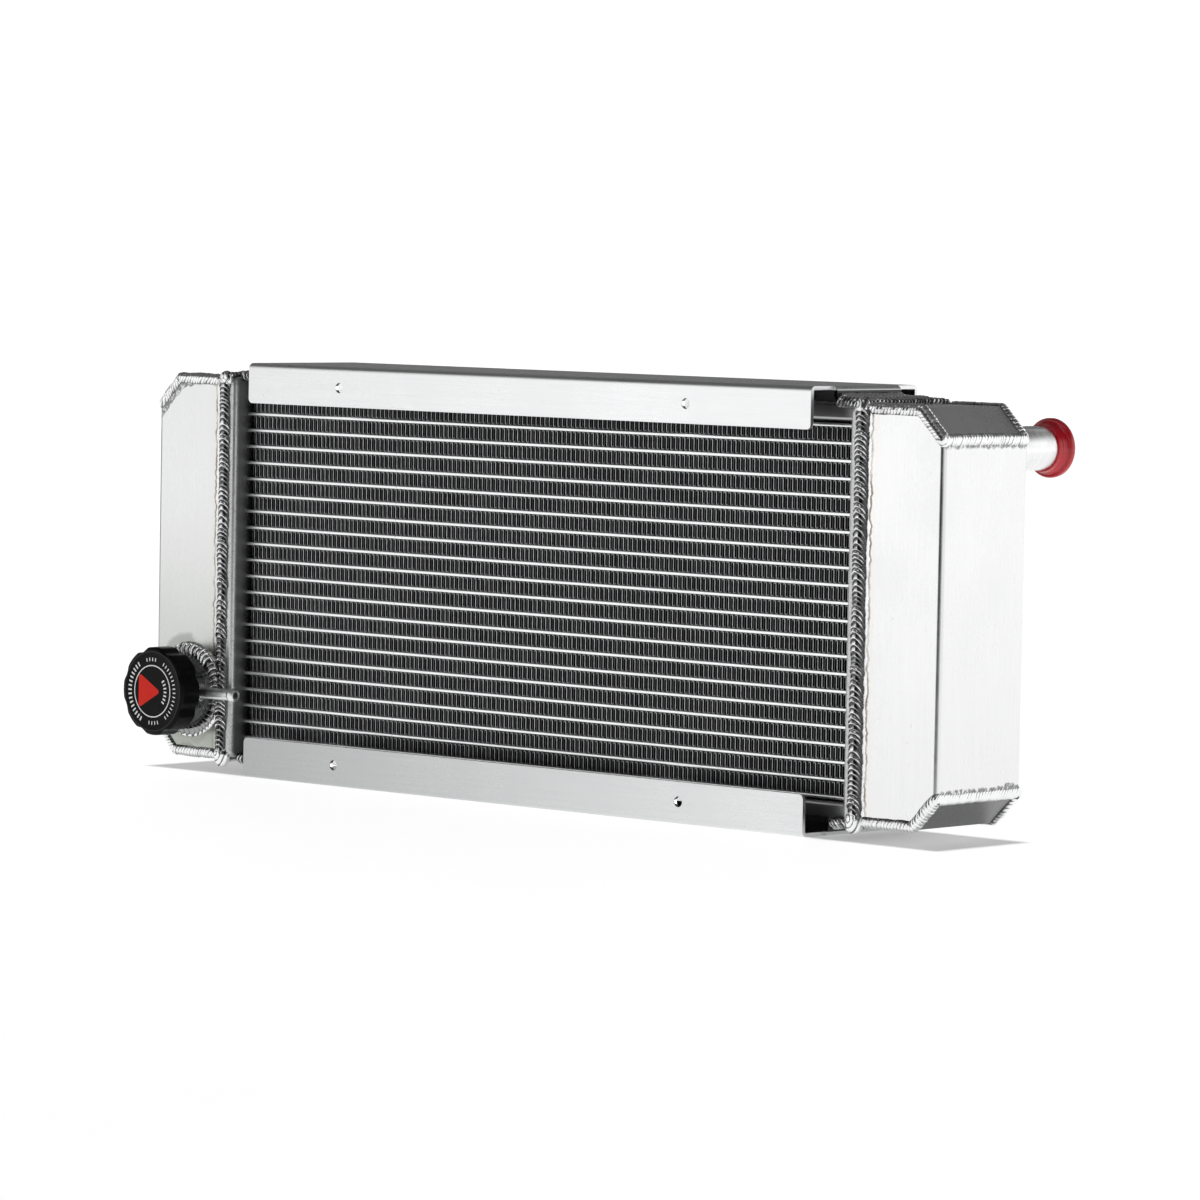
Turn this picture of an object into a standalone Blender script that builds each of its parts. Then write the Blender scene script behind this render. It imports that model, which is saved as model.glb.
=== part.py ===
"""Aluminium car radiator: a flat-tube core between two welded tanks, with a pressure cap.

+X runs along the core, -Y is the front, +Z is up. The origin is the middle of the bottom
channel's underside. Sizes are in metres.
"""

import math

import bmesh
import bpy
from mathutils import Matrix, Vector
from mathutils.geometry import tessellate_polygon

GAP = 0.0003  # clearance that welded or sliding neighbours keep
SAME_PLACE = 1e-6  # points closer than this count as one

# Core
TUBE_COUNT = 22
TUBE_PITCH = 0.010
TUBE_THICKNESS = 0.002
TUBE_HALF_DEPTH = 0.026
TUBE_WALL = 0.0004
TUBE_PAST_PLATE = 0.003
FIN_LEGS = 25
FIN_FOIL = 0.0004
FIN_END_SPACE = 0.003
FIN_HALF_DEPTH = 0.0257
CORE_HALF_LENGTH = 0.248
CORE_MIDDLE = 0.127

# Side plates and mounting channels
SIDE_PLATE_SHEET = 0.0012
SIDE_PLATE_HEIGHT = 0.0089
SIDE_PLATE_GAP = 0.0014  # between the outermost tube and the side plate
CHANNEL_HALF_LENGTH = 0.227
CHANNEL_HALF_DEPTH = 0.0465
CHANNEL_HEIGHT = 0.0245
CHANNEL_SHEET = 0.0025
CHANNEL_BEND = 0.001  # inside bend radius
CHANNEL_CORNER = 0.003
CHANNEL_HOLES = (-0.1485, 0.1325)
CHANNEL_HOLE_RADIUS = 0.0030
CHANNEL_HOLE_FROM_WEB = 0.0129
TONGUE_HALF_WIDTH = 0.028
TONGUE_DROP = 0.0067
TONGUE_END = 0.251

# Header plates and tanks
SHEET = 0.0025
HEADER_HALF_DEPTH = 0.0375
HEADER_HALF_HEIGHT = 0.1175
HEADER_FLANGE = 0.0085
HEADER_CORNER = 0.005
HEADER_BEND = 0.003
TANK_HALF_DEPTH = 0.037
TANK_INNER_EDGE = 0.2568
TANK_OUTER_FACE = 0.317
TANK_CHAMFER = 0.0172
TANK_BEND = 0.0028
TANK_INSIDE_BEND = 0.0008
TANK_WELD_BEVEL = 0.0015  # edge preparation for the end caps' weld

# Hose pipes and their plugs
PIPE_X = 0.284
PIPE_HEIGHT = 0.0925  # above the core's middle on the right, below it on the left
PIPE_RADIUS = 0.0127
PIPE_BORE = 0.0112
PIPE_END = 0.0514  # from the tank's back face
PIPE_INSIDE = 0.0035  # how far the pipe reaches in through the tank's wall
PIPE_LIP = 0.0005
PLUG_LENGTH = 0.0112
PLUG_RADIUS = 0.0171
PLUG_SPIGOT_DEPTH = 0.011
PLUG_WALL = 0.0015
PLUG_FLANGE = 0.0036
PLUG_COLLAR = 0.0136
PLUG_COLLAR_END = 0.003
PLUG_WAIST = 0.0145
PLUG_WAIST_END = 0.006
PLUG_EDGE = 0.0006

# Filler neck and cap; heights are from the tank's front face
NECK_X = -0.2855
NECK_Z = CORE_MIDDLE - 0.0772
NECK_RIM = 0.027
NECK_BODY = 0.0215
NECK_SPIGOT_WALL = 0.0015
NECK_FOOT = 0.0245
NECK_FOOT_TOP = 0.006
NECK_LIP = 0.0225
NECK_LIP_DEPTH = 0.003
NECK_EDGE = 0.0005
NECK_CHAMBER = 0.0165
NECK_THROAT = 0.0137
NECK_SEAT = 0.008
NIPPLE_HEIGHT = 0.0125
NIPPLE_RADIUS = 0.0036
NIPPLE_BEAD = 0.0042
NIPPLE_BEAD_LENGTH = 0.005
NIPPLE_BORE = 0.002
NIPPLE_END = 0.0545  # from the neck's axis
CAP_BACK = 0.017
CAP_FRONT = 0.032
CAP_TOP_THICKNESS = 0.003
CAP_SHOULDER = 0.0018  # the lobes stop this far behind the face
CAP_FACE_EDGE = 0.0012
CAP_RADIUS = 0.0273
CAP_SCALLOP = 0.0016
CAP_LOBES = 8
CAP_SKIRT_BORE = 0.023
POST_RADIUS = 0.004
POST_END = 0.018
VALVE_RADIUS = 0.0158
VALVE_PLATE = 0.0025
VALVE_PORT = 0.0032
SLEEVE_RADIUS = 0.0063
SLEEVE_PLAY = 0.0004
SLEEVE_TOP = 0.023
SPRING_RADIUS = 0.0105
SPRING_WIRE = 0.001
SPRING_TURNS = 4
SPRING_STEPS = 12  # in one turn
VACUUM_DISC = 0.0052
VACUUM_PIN = 0.0015
VACUUM_HEAD = 0.0038
VACUUM_HEAD_HEIGHT = 0.0135
VACUUM_THICKNESS = 0.0012

ROUND_STEPS = 32
PLUG_STEPS = 24
SMALL_STEPS = 16
CAP_STEPS = 64
BEND_STEPS = 3
SMOOTH_ANGLE = math.radians(35)

# Columns of these matrices say where a drawing's own axes point
ALONG_X = Matrix(((0, 0, 1, 0), (1, 0, 0, 0), (0, 1, 0, 0), (0, 0, 0, 1)))
ALONG_Y = Matrix(((1, 0, 0, 0), (0, 0, 1, 0), (0, 1, 0, 0), (0, 0, 0, 1)))
TOWARDS_FRONT = (math.radians(90), 0, 0)
TOWARDS_BACK = (math.radians(-90), 0, 0)
ALONG_NIPPLE = (0, math.radians(90), 0)


# ---------------------------------------------------------------- materials


def finish(name, colour, metallic, roughness):
    material = bpy.data.materials.new(name)
    material.use_nodes = True
    shader = material.node_tree.nodes["Principled BSDF"]
    shader.inputs["Base Color"].default_value = (*colour, 1)
    shader.inputs["Metallic"].default_value = metallic
    shader.inputs["Roughness"].default_value = roughness
    return material


def brushed_sheet():
    return finish("brushed_sheet", (0.80, 0.81, 0.82), 1.0, 0.35)


def bright_tube():
    return finish("bright_tube", (0.86, 0.87, 0.88), 1.0, 0.3)


def dark_fin():
    return finish("dark_fin", (0.05, 0.052, 0.055), 0.8, 0.5)


def machined_neck():
    return finish("machined_neck", (0.62, 0.63, 0.64), 1.0, 0.3)


def black_anodised():
    return finish("black_anodised", (0.015, 0.015, 0.016), 0.6, 0.35)


def red_plastic():
    return finish("red_plastic", (0.45, 0.0, 0.01), 0.0, 0.2)


def spring_steel():
    return finish("spring_steel", (0.55, 0.55, 0.57), 1.0, 0.3)


def valve_brass():
    return finish("valve_brass", (0.70, 0.52, 0.22), 1.0, 0.35)


# ---------------------------------------------------------------- shape tools


def add_object(name, bm, material, location=(0, 0, 0), rotation=(0, 0, 0), parent=None):
    """Turns a bmesh into a named object whose faces point out."""
    bmesh.ops.recalc_face_normals(bm, faces=bm.faces)
    mesh = bpy.data.meshes.new(name)
    bm.to_mesh(mesh)
    bm.free()
    mesh.materials.append(material)
    mesh.shade_smooth()
    mesh.set_sharp_from_angle(angle=SMOOTH_ANGLE)
    made = bpy.data.objects.new(name, mesh)
    made.location = location
    made.rotation_euler = rotation
    made.parent = parent
    bpy.context.collection.objects.link(made)
    return made


def prism(loops, low, high, direction=None):
    """Extrudes an outline, and any holes inside it, from low to high along the drawing's Z."""
    bm = bmesh.new()
    flat = [Vector((x, y, low)) for loop in loops for x, y in loop]
    verts = [bm.verts.new(point) for point in flat]
    polygons = [[Vector((x, y, 0)) for x, y in loop] for loop in loops]
    for corners in tessellate_polygon(polygons):
        bm.faces.new([verts[i] for i in corners])
    made = bmesh.ops.extrude_face_region(bm, geom=bm.faces[:])
    top = [v for v in made["geom"] if isinstance(v, bmesh.types.BMVert)]
    bmesh.ops.translate(bm, verts=top, vec=(0, 0, high - low))
    if direction:
        bmesh.ops.transform(bm, matrix=direction, verts=bm.verts)
    return bm


def turned(profile, steps=ROUND_STEPS):
    """Spins a closed outline of (radius, height) points about Z."""
    bm = bmesh.new()
    verts = [bm.verts.new((radius, 0, height)) for radius, height in profile]
    edges = [bm.edges.new((a, b)) for a, b in zip(verts, verts[1:] + verts[:1])]
    bmesh.ops.spin(bm, geom=verts + edges, cent=(0, 0, 0), axis=(0, 0, 1),
                   angle=math.tau, steps=steps, use_merge=True)
    bmesh.ops.remove_doubles(bm, verts=bm.verts, dist=SAME_PLACE)
    return bm


def arc(centre, radius, start, end, steps):
    """Points on an arc, angles in degrees."""
    angles = [math.radians(start + (end - start) * i / steps) for i in range(steps + 1)]
    return [(centre[0] + radius * math.cos(a), centre[1] + radius * math.sin(a)) for a in angles]


def circle(centre, radius, steps=ROUND_STEPS):
    return arc(centre, radius, 0, 360, steps)[:-1]


def rounded_rectangle(half_x, half_y, radius, steps):
    corners = ((half_x, half_y, 0), (-half_x, half_y, 90), (-half_x, -half_y, 180), (half_x, -half_y, 270))
    points = []
    for x, y, start in corners:
        centre = (x - math.copysign(radius, x), y - math.copysign(radius, y))
        points += arc(centre, radius, start, start + 90, steps)
    return points


def stadium(half_width, half_height, middle):
    """A flat tube's outline: two straight sides and two round ends."""
    straight = half_width - half_height
    ends = arc((straight, middle), half_height, -90, 90, 4)
    return ends + arc((-straight, middle), half_height, 90, 270, 4)


def bent_sheet(section, low, high):
    """Extrudes a folded sheet along X. The section is pairs of (outer, inner) YZ points."""
    bm = bmesh.new()
    rows = []
    for x in (low, high):
        rows.append([[bm.verts.new((x, *point)) for point in pair] for pair in section])
    for row in rows:
        for a, b in zip(row, row[1:]):
            bm.faces.new((a[0], a[1], b[1], b[0]))
    near, far = rows
    for i in range(len(section) - 1):
        for side in (0, 1):
            bm.faces.new((near[i][side], near[i + 1][side], far[i + 1][side], far[i][side]))
    for i in (0, -1):
        bm.faces.new((near[i][0], near[i][1], far[i][1], far[i][0]))
    bmesh.ops.recalc_face_normals(bm, faces=bm.faces)
    return bm


def add_boolean(target, other, operation):
    """Joins or cuts with a helper solid that isn't part of the radiator."""
    other.hide_render = True
    other.display_type = "WIRE"
    step = target.modifiers.new(other.name, "BOOLEAN")
    step.operation = operation
    step.solver = "EXACT"
    step.object = other


def add_cylinder_cutter(name, centre, radius, half_length, material):
    """A round cutter along Y."""
    bm = prism([circle((centre[0], centre[2]), radius, PLUG_STEPS)],
               centre[1] - half_length, centre[1] + half_length, ALONG_Y)
    return add_object(name, bm, material)


# ---------------------------------------------------------------- core


def tube_level(index):
    """Height of a tube's middle above the core's middle; index 0 is the lowest tube."""
    return (index - (TUBE_COUNT - 1) / 2) * TUBE_PITCH


def add_tubes(material):
    """Flat extruded tubes, each with two coolant passages beside each other."""
    half = TUBE_THICKNESS / 2
    outer = stadium(TUBE_HALF_DEPTH, half, 0)
    far = TUBE_HALF_DEPTH - 2 * TUBE_WALL
    near = TUBE_WALL
    inner = half - TUBE_WALL
    front = [(-far, -inner), (-near, -inner), (-near, inner), (-far, inner)]
    back = [(-x, y) for x, y in front]
    reach = CORE_HALF_LENGTH + SHEET + TUBE_PAST_PLATE
    for index in range(TUBE_COUNT):
        bm = prism([outer, front, back], -reach, reach, ALONG_X)
        place = (0, 0, CORE_MIDDLE + tube_level(index))
        add_object(f"core_tube_{index + 1:02d}", bm, material, place)


def fin_outline():
    """One zigzag of foil seen from the front, as a single closed outline."""
    reach = CORE_HALF_LENGTH - FIN_END_SPACE
    top = (TUBE_PITCH - TUBE_THICKNESS) / 2 - GAP
    run = 2 * reach / FIN_LEGS
    rise = 2 * (top - FIN_FOIL)
    vertical = FIN_FOIL * math.hypot(run, rise) / run
    upper = []
    for i in range(FIN_LEGS + 1):
        x = -reach + i * run
        upper.append((x, top if i % 2 else -top + vertical))
    lower = [(x, z - vertical) for x, z in upper]
    return upper + lower[::-1]


def add_fins(material):
    for index in range(TUBE_COUNT - 1):
        bm = prism([fin_outline()], -FIN_HALF_DEPTH, FIN_HALF_DEPTH, ALONG_Y)
        place = (0, 0, CORE_MIDDLE + tube_level(index) + TUBE_PITCH / 2)
        add_object(f"fin_row_{index + 1:02d}", bm, material, place)


def channel_section(half_depth, height, sheet, inside_bend, splits):
    """Half-open channel with its web on top, from the front flange's tip to the back one's."""
    bend = inside_bend + sheet
    corner = (half_depth - bend, -bend)
    outer = arc(corner, bend, 0, 90, BEND_STEPS)
    inner = arc(corner, inside_bend, 0, 90, BEND_STEPS)
    half = [((half_depth, -height), (half_depth - sheet, -height))]
    half += list(zip(outer, inner))
    half += [((y, 0), (y, -sheet)) for y in splits]
    mirrored = [tuple((-y, z) for y, z in pair) for pair in half]
    return mirrored + half[::-1]


def add_side_plates(material):
    """Shallow channels that close the core's top and bottom, flanges outwards."""
    section = channel_section(TUBE_HALF_DEPTH, SIDE_PLATE_HEIGHT, SIDE_PLATE_SHEET,
                              SIDE_PLATE_SHEET, ())
    web = tube_level(TUBE_COUNT - 1) + TUBE_THICKNESS / 2 + SIDE_PLATE_GAP
    for name, up in (("side_plate_top", -1), ("side_plate_bottom", 1)):
        turned_section = [tuple((y, up * z) for y, z in pair) for pair in section]
        reach = CORE_HALF_LENGTH - GAP
        bm = bent_sheet(turned_section, -reach, reach)
        add_object(name, bm, material, (0, 0, CORE_MIDDLE - up * web))


# ---------------------------------------------------------------- channels


def fold_tongue(bm, side):
    """Folds the middle of the web's end down, then out again onto the header's top."""
    bend = CHANNEL_BEND + CHANNEL_SHEET
    down = Vector((side * CHANNEL_HALF_LENGTH, 0, -bend))
    out = Vector((side * (CHANNEL_HALF_LENGTH + bend + CHANNEL_BEND), 0, CHANNEL_BEND - TONGUE_DROP))
    step = math.radians(90 / BEND_STEPS)

    def end_face():
        ends = [f for f in bm.faces if all(abs(v.co.y) < TONGUE_HALF_WIDTH + GAP for v in f.verts)]
        return max(ends, key=lambda f: side * f.normal.x * (f.calc_center_median().x * side > 0))

    face = end_face()

    def push(move):
        nonlocal face
        made = bmesh.ops.extrude_discrete_faces(bm, faces=[face])
        face = made["faces"][0]
        move(list(face.verts))

    def turn(centre, angle):
        spin = Matrix.Rotation(angle, 3, "Y")
        push(lambda verts: bmesh.ops.rotate(bm, cent=centre, matrix=spin, verts=verts))

    def slide(x, z):
        push(lambda verts: bmesh.ops.translate(bm, verts=verts, vec=(x, 0, z)))

    for _ in range(BEND_STEPS):
        turn(down, side * step)
    slide(0, out.z - down.z)
    for _ in range(BEND_STEPS):
        turn(out, -side * step)
    slide(side * TONGUE_END - out.x, 0)


def round_flange_corners(bm):
    """Rounds the free corners of both flanges."""
    picked = []
    for edge in bm.edges:
        a, b = (v.co for v in edge.verts)
        apart = b - a
        across = abs(apart.y) > CHANNEL_SHEET / 2 and math.hypot(apart.x, apart.z) < SAME_PLACE
        if across and abs(a.z + CHANNEL_HEIGHT) < SAME_PLACE:
            picked.append(edge)
    bmesh.ops.bevel(bm, geom=picked, offset=CHANNEL_CORNER, segments=BEND_STEPS, profile=0.5,
                    affect="EDGES")


def add_channel(name, top, material):
    """A mounting channel; the bottom one is the top one turned over."""
    section = channel_section(CHANNEL_HALF_DEPTH, CHANNEL_HEIGHT, CHANNEL_SHEET, CHANNEL_BEND,
                              (TONGUE_HALF_WIDTH,))
    bm = bent_sheet(section, -CHANNEL_HALF_LENGTH, CHANNEL_HALF_LENGTH)
    for side in (-1, 1):
        fold_tongue(bm, side)
    round_flange_corners(bm)
    height = 2 * CORE_MIDDLE if top else 0
    if not top:
        bmesh.ops.scale(bm, vec=(1, 1, -1), verts=bm.verts)
    channel = add_object(name, bm, material, (0, 0, height))
    hole_z = height + (-CHANNEL_HOLE_FROM_WEB if top else CHANNEL_HOLE_FROM_WEB)
    for number, x in enumerate(CHANNEL_HOLES, 1):
        centre = (x, 0, hole_z)
        cutter = add_cylinder_cutter(f"{name}_drill_{number}", centre, CHANNEL_HOLE_RADIUS, 0.06, material)
        add_boolean(channel, cutter, "DIFFERENCE")


# ---------------------------------------------------------------- header plates and tanks


def add_header(name, side, material):
    """A shallow pan with a slot for each tube, its rim towards the tank."""
    outline = rounded_rectangle(HEADER_HALF_DEPTH, HEADER_HALF_HEIGHT, HEADER_CORNER, BEND_STEPS)
    bm = bmesh.new()
    face = bm.faces.new([bm.verts.new((0, y, z)) for y, z in outline])
    made = bmesh.ops.extrude_face_region(bm, geom=[face])
    rim = [v for v in made["geom"] if isinstance(v, bmesh.types.BMVert)]
    bmesh.ops.translate(bm, verts=rim, vec=(HEADER_FLANGE, 0, 0))
    bmesh.ops.recalc_face_normals(bm, faces=bm.faces)
    plate_edges = [e for e in bm.edges if all(abs(v.co.x) < SAME_PLACE for v in e.verts)]
    bmesh.ops.bevel(bm, geom=plate_edges, offset=HEADER_BEND, segments=2, profile=0.5, affect="EDGES")
    open_face = max(bm.faces, key=lambda f: f.calc_center_median().x)
    bmesh.ops.inset_region(bm, faces=[open_face], thickness=SHEET, use_even_offset=True)
    bmesh.ops.translate(bm, verts=list(open_face.verts), vec=(SHEET - HEADER_FLANGE, 0, 0))
    bmesh.ops.scale(bm, vec=(side, 1, 1), verts=bm.verts)
    header = add_object(name, bm, material, (side * CORE_HALF_LENGTH, 0, CORE_MIDDLE))
    add_boolean(header, add_slot_cutter(f"{name}_slots", side, material), "DIFFERENCE")


def add_slot_cutter(name, side, material):
    bm = bmesh.new()
    middle = side * (CORE_HALF_LENGTH + SHEET / 2)
    for index in range(TUBE_COUNT):
        loop = stadium(TUBE_HALF_DEPTH + GAP, TUBE_THICKNESS / 2 + GAP, tube_level(index))
        slot = prism([loop], middle - 2 * SHEET, middle + 2 * SHEET, ALONG_X)
        bmesh.ops.recalc_face_normals(slot, faces=slot.faces)
        mesh = bpy.data.meshes.new(name)
        slot.to_mesh(mesh)
        slot.free()
        bm.from_mesh(mesh)
        bpy.data.meshes.remove(mesh)
    return add_object(name, bm, material, (0, 0, CORE_MIDDLE))


def bevel_end_caps(bm, width):
    """Bevels the edges where the end caps meet the bent sheet, as a weld needs."""

    def is_cap(face):
        return abs(face.normal.z) > 0.5

    bm.normal_update()
    welded = []
    for edge in bm.edges:
        first, second = edge.link_faces
        at_mouth = min(first.normal.x, second.normal.x) < -0.9
        if is_cap(first) != is_cap(second) and not at_mouth:
            welded.append(edge)
    bmesh.ops.bevel(bm, geom=welded, offset=width, segments=1, affect="EDGES")


def tank_block(side, inner_edge, outer_face, half_height, half_depth, chamfer, bend, weld_bevel=0):
    """A block with its two outer corners cut at 45 degrees and its upright bends rounded."""
    outline = [
        (inner_edge, -half_height),
        (outer_face - chamfer, -half_height),
        (outer_face, chamfer - half_height),
        (outer_face, half_height - chamfer),
        (outer_face - chamfer, half_height),
        (inner_edge, half_height),
    ]
    bm = prism([outline], -half_depth, half_depth, ALONG_Y)
    bmesh.ops.dissolve_limit(bm, angle_limit=0.01, verts=bm.verts, edges=bm.edges)
    upright = []
    for edge in bm.edges:
        a, b = (v.co for v in edge.verts)
        at_outer_face = all(abs(v.co.x - outer_face) < SAME_PLACE for v in edge.verts)
        if at_outer_face and abs(a.y - b.y) < SAME_PLACE:
            upright.append(edge)
    bmesh.ops.bevel(bm, geom=upright, offset=bend, segments=BEND_STEPS, profile=0.5, affect="EDGES")
    if weld_bevel:
        bmesh.ops.recalc_face_normals(bm, faces=bm.faces)
        bevel_end_caps(bm, weld_bevel)
    bmesh.ops.scale(bm, vec=(side, 1, 1), verts=bm.verts)
    return bm


def add_tank(name, side, material):
    """Bent sheet with its end caps welded in, open towards the header."""
    outer = tank_block(side, TANK_INNER_EDGE, TANK_OUTER_FACE, HEADER_HALF_HEIGHT, TANK_HALF_DEPTH,
                       TANK_CHAMFER, TANK_BEND, TANK_WELD_BEVEL)
    mitre = SHEET * math.tan(math.radians(22.5))
    inner = tank_block(side, TANK_INNER_EDGE - SHEET, TANK_OUTER_FACE - SHEET, HEADER_HALF_HEIGHT - SHEET,
                       TANK_HALF_DEPTH - SHEET, TANK_CHAMFER + mitre - SHEET, TANK_INSIDE_BEND)
    tank = add_object(name, outer, material, (0, 0, CORE_MIDDLE))
    hollow = add_object(f"{name}_hollow", inner, material, (0, 0, CORE_MIDDLE))
    add_boolean(tank, hollow, "DIFFERENCE")
    centre = (side * PIPE_X, TANK_HALF_DEPTH, CORE_MIDDLE + side * PIPE_HEIGHT)
    pipe_hole = add_cylinder_cutter(f"{name}_pipe_hole", centre, PIPE_RADIUS + GAP, 0.01, material)
    add_boolean(tank, pipe_hole, "DIFFERENCE")
    return tank


# ---------------------------------------------------------------- pipes and plugs


def add_pipe(name, side, material):
    """A plain hose pipe through the tank's back wall, with a rounded mouth."""
    profile = [
        (PIPE_BORE, -PIPE_INSIDE),
        (PIPE_RADIUS, -PIPE_INSIDE),
        (PIPE_RADIUS, PIPE_END - PIPE_LIP),
        (PIPE_RADIUS - PIPE_LIP, PIPE_END),
        (PIPE_BORE + PIPE_LIP, PIPE_END),
        (PIPE_BORE, PIPE_END - PIPE_LIP),
    ]
    place = (side * PIPE_X, TANK_HALF_DEPTH, CORE_MIDDLE + side * PIPE_HEIGHT)
    add_object(name, turned(profile), material, place, TOWARDS_BACK)


def add_plug(name, side, material):
    """A moulded plug: a hollow spigot in the pipe, a collar against its end and a flared grip."""
    spigot = PIPE_BORE - GAP
    inside = spigot - PLUG_WALL
    flange = PLUG_LENGTH - PLUG_FLANGE
    profile = [
        (0, -PLUG_SPIGOT_DEPTH),
        (spigot - PLUG_EDGE, -PLUG_SPIGOT_DEPTH),
        (spigot, 2 * PLUG_EDGE - PLUG_SPIGOT_DEPTH),
        (spigot, GAP),
        (PLUG_COLLAR, GAP),
        (PLUG_COLLAR, PLUG_COLLAR_END),
        (PLUG_WAIST, PLUG_COLLAR_END + PLUG_EDGE),
        (PLUG_WAIST, PLUG_WAIST_END),
        (PLUG_RADIUS - PLUG_EDGE, flange - PLUG_EDGE),
        (PLUG_RADIUS, flange),
        (PLUG_RADIUS, PLUG_LENGTH - PLUG_EDGE),
        (PLUG_RADIUS - PLUG_EDGE, PLUG_LENGTH),
        (inside + PLUG_EDGE, PLUG_LENGTH),
        (inside, PLUG_LENGTH - PLUG_EDGE),
        (inside, PLUG_WALL - PLUG_SPIGOT_DEPTH),
        (0, PLUG_WALL - PLUG_SPIGOT_DEPTH),
    ]
    place = (side * PIPE_X, TANK_HALF_DEPTH + PIPE_END, CORE_MIDDLE + side * PIPE_HEIGHT)
    add_object(name, turned(profile, PLUG_STEPS), material, place, TOWARDS_BACK)


# ---------------------------------------------------------------- filler neck and cap


def add_filler_axis():
    """Empty on the neck's axis at the tank's front face; its Z points out of the neck."""
    empty = bpy.data.objects.new("filler_axis", None)
    empty.location = (NECK_X, -TANK_HALF_DEPTH, NECK_Z)
    empty.rotation_euler = TOWARDS_FRONT
    bpy.context.collection.objects.link(empty)
    return empty


def add_neck(tank, axis, material):
    """Turned neck with a seat for the pressure valve and a side nipple for the overflow hose."""
    spigot = NECK_THROAT + NECK_SPIGOT_WALL
    lip = NECK_RIM - NECK_LIP_DEPTH
    profile = [
        (NECK_THROAT, -SHEET),
        (spigot, -SHEET),
        (spigot, GAP),
        (NECK_FOOT, GAP),
        (NECK_FOOT, NECK_FOOT_TOP / 4),
        (NECK_BODY, NECK_FOOT_TOP),
        (NECK_BODY, lip - NECK_LIP + NECK_BODY),
        (NECK_LIP, lip),
        (NECK_LIP, NECK_RIM - NECK_EDGE),
        (NECK_LIP - NECK_EDGE, NECK_RIM),
        (NECK_CHAMBER + NECK_EDGE, NECK_RIM),
        (NECK_CHAMBER, NECK_RIM - NECK_EDGE),
        (NECK_CHAMBER, NECK_SEAT),
        (NECK_THROAT, NECK_SEAT),
    ]
    neck = add_object("filler_neck", turned(profile), material, parent=axis)
    add_boolean(neck, add_nipple(axis, material), "UNION")
    bore = prism([circle((0, 0), NIPPLE_BORE, SMALL_STEPS)], NECK_CHAMBER - NIPPLE_BORE,
                 NIPPLE_END + NIPPLE_BORE)
    drill = add_object("nipple_bore", bore, material, (0, 0, NIPPLE_HEIGHT), ALONG_NIPPLE, axis)
    add_boolean(neck, drill, "DIFFERENCE")
    centre = (NECK_X, -TANK_HALF_DEPTH, NECK_Z)
    hole = add_cylinder_cutter("filler_hole", centre, spigot + GAP, 0.01, material)
    add_boolean(tank, hole, "DIFFERENCE")


def add_nipple(axis, material):
    """Solid overflow nipple with a beaded end, before it is bored."""
    root = (NECK_CHAMBER + NECK_BODY) / 2
    bead_start = NIPPLE_END - NIPPLE_BEAD_LENGTH
    bead_end = NIPPLE_END - NIPPLE_BEAD_LENGTH / 2
    profile = [
        (0, root),
        (NIPPLE_RADIUS, root),
        (NIPPLE_RADIUS, bead_start),
        (NIPPLE_BEAD, bead_start + NIPPLE_BEAD - NIPPLE_RADIUS),
        (NIPPLE_BEAD, bead_end),
        (NIPPLE_RADIUS, bead_end + NIPPLE_BEAD - NIPPLE_RADIUS),
        (NIPPLE_RADIUS, NIPPLE_END),
        (0, NIPPLE_END),
    ]
    blank = turned(profile, SMALL_STEPS)
    return add_object("nipple_blank", blank, material, (0, 0, NIPPLE_HEIGHT), ALONG_NIPPLE, axis)


def scalloped_outline():
    """The cap's grip: round lobes with a shallow hollow between each two."""
    points = []
    for i in range(CAP_STEPS):
        angle = math.tau * i / CAP_STEPS
        wave = max(0, -math.cos(CAP_LOBES * angle))
        radius = CAP_RADIUS - CAP_SCALLOP * wave
        points.append((radius * math.cos(angle), radius * math.sin(angle)))
    return points


def add_cap_shell(axis, material):
    """Deep cap with a scalloped grip and a post that guides the pressure valve."""
    bm = prism([scalloped_outline()], CAP_BACK, CAP_FRONT - CAP_SHOULDER)
    shell = add_object("cap_shell", bm, material, parent=axis)
    face = CAP_RADIUS - CAP_SCALLOP - NECK_EDGE
    disc = turned([
        (0, CAP_FRONT - 2 * CAP_SHOULDER),
        (face, CAP_FRONT - 2 * CAP_SHOULDER),
        (face, CAP_FRONT - CAP_FACE_EDGE),
        (face - CAP_FACE_EDGE, CAP_FRONT),
        (0, CAP_FRONT),
    ], CAP_STEPS)
    add_boolean(shell, add_object("cap_face", disc, material, parent=axis), "UNION")
    under = CAP_FRONT - CAP_TOP_THICKNESS
    open_end = CAP_BACK - GAP
    hollow = turned([
        (POST_RADIUS, POST_END),
        (POST_RADIUS, under),
        (CAP_SKIRT_BORE, under),
        (CAP_SKIRT_BORE, open_end),
        (0, open_end),
        (0, POST_END),
    ])
    add_boolean(shell, add_object("cap_hollow", hollow, material, parent=axis), "DIFFERENCE")


def add_pressure_valve(axis, material):
    """Valve plate on the neck's seat, with a sleeve that slides on the cap's post."""
    low = NECK_SEAT + GAP
    top = low + VALVE_PLATE
    bore = POST_RADIUS + SLEEVE_PLAY
    profile = [
        (VALVE_PORT, low),
        (VALVE_RADIUS, low),
        (VALVE_RADIUS, top),
        (SLEEVE_RADIUS, top),
        (SLEEVE_RADIUS, SLEEVE_TOP),
        (bore, SLEEVE_TOP),
        (bore, top),
        (VALVE_PORT, top),
    ]
    add_object("pressure_valve", turned(profile), material, parent=axis)


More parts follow.
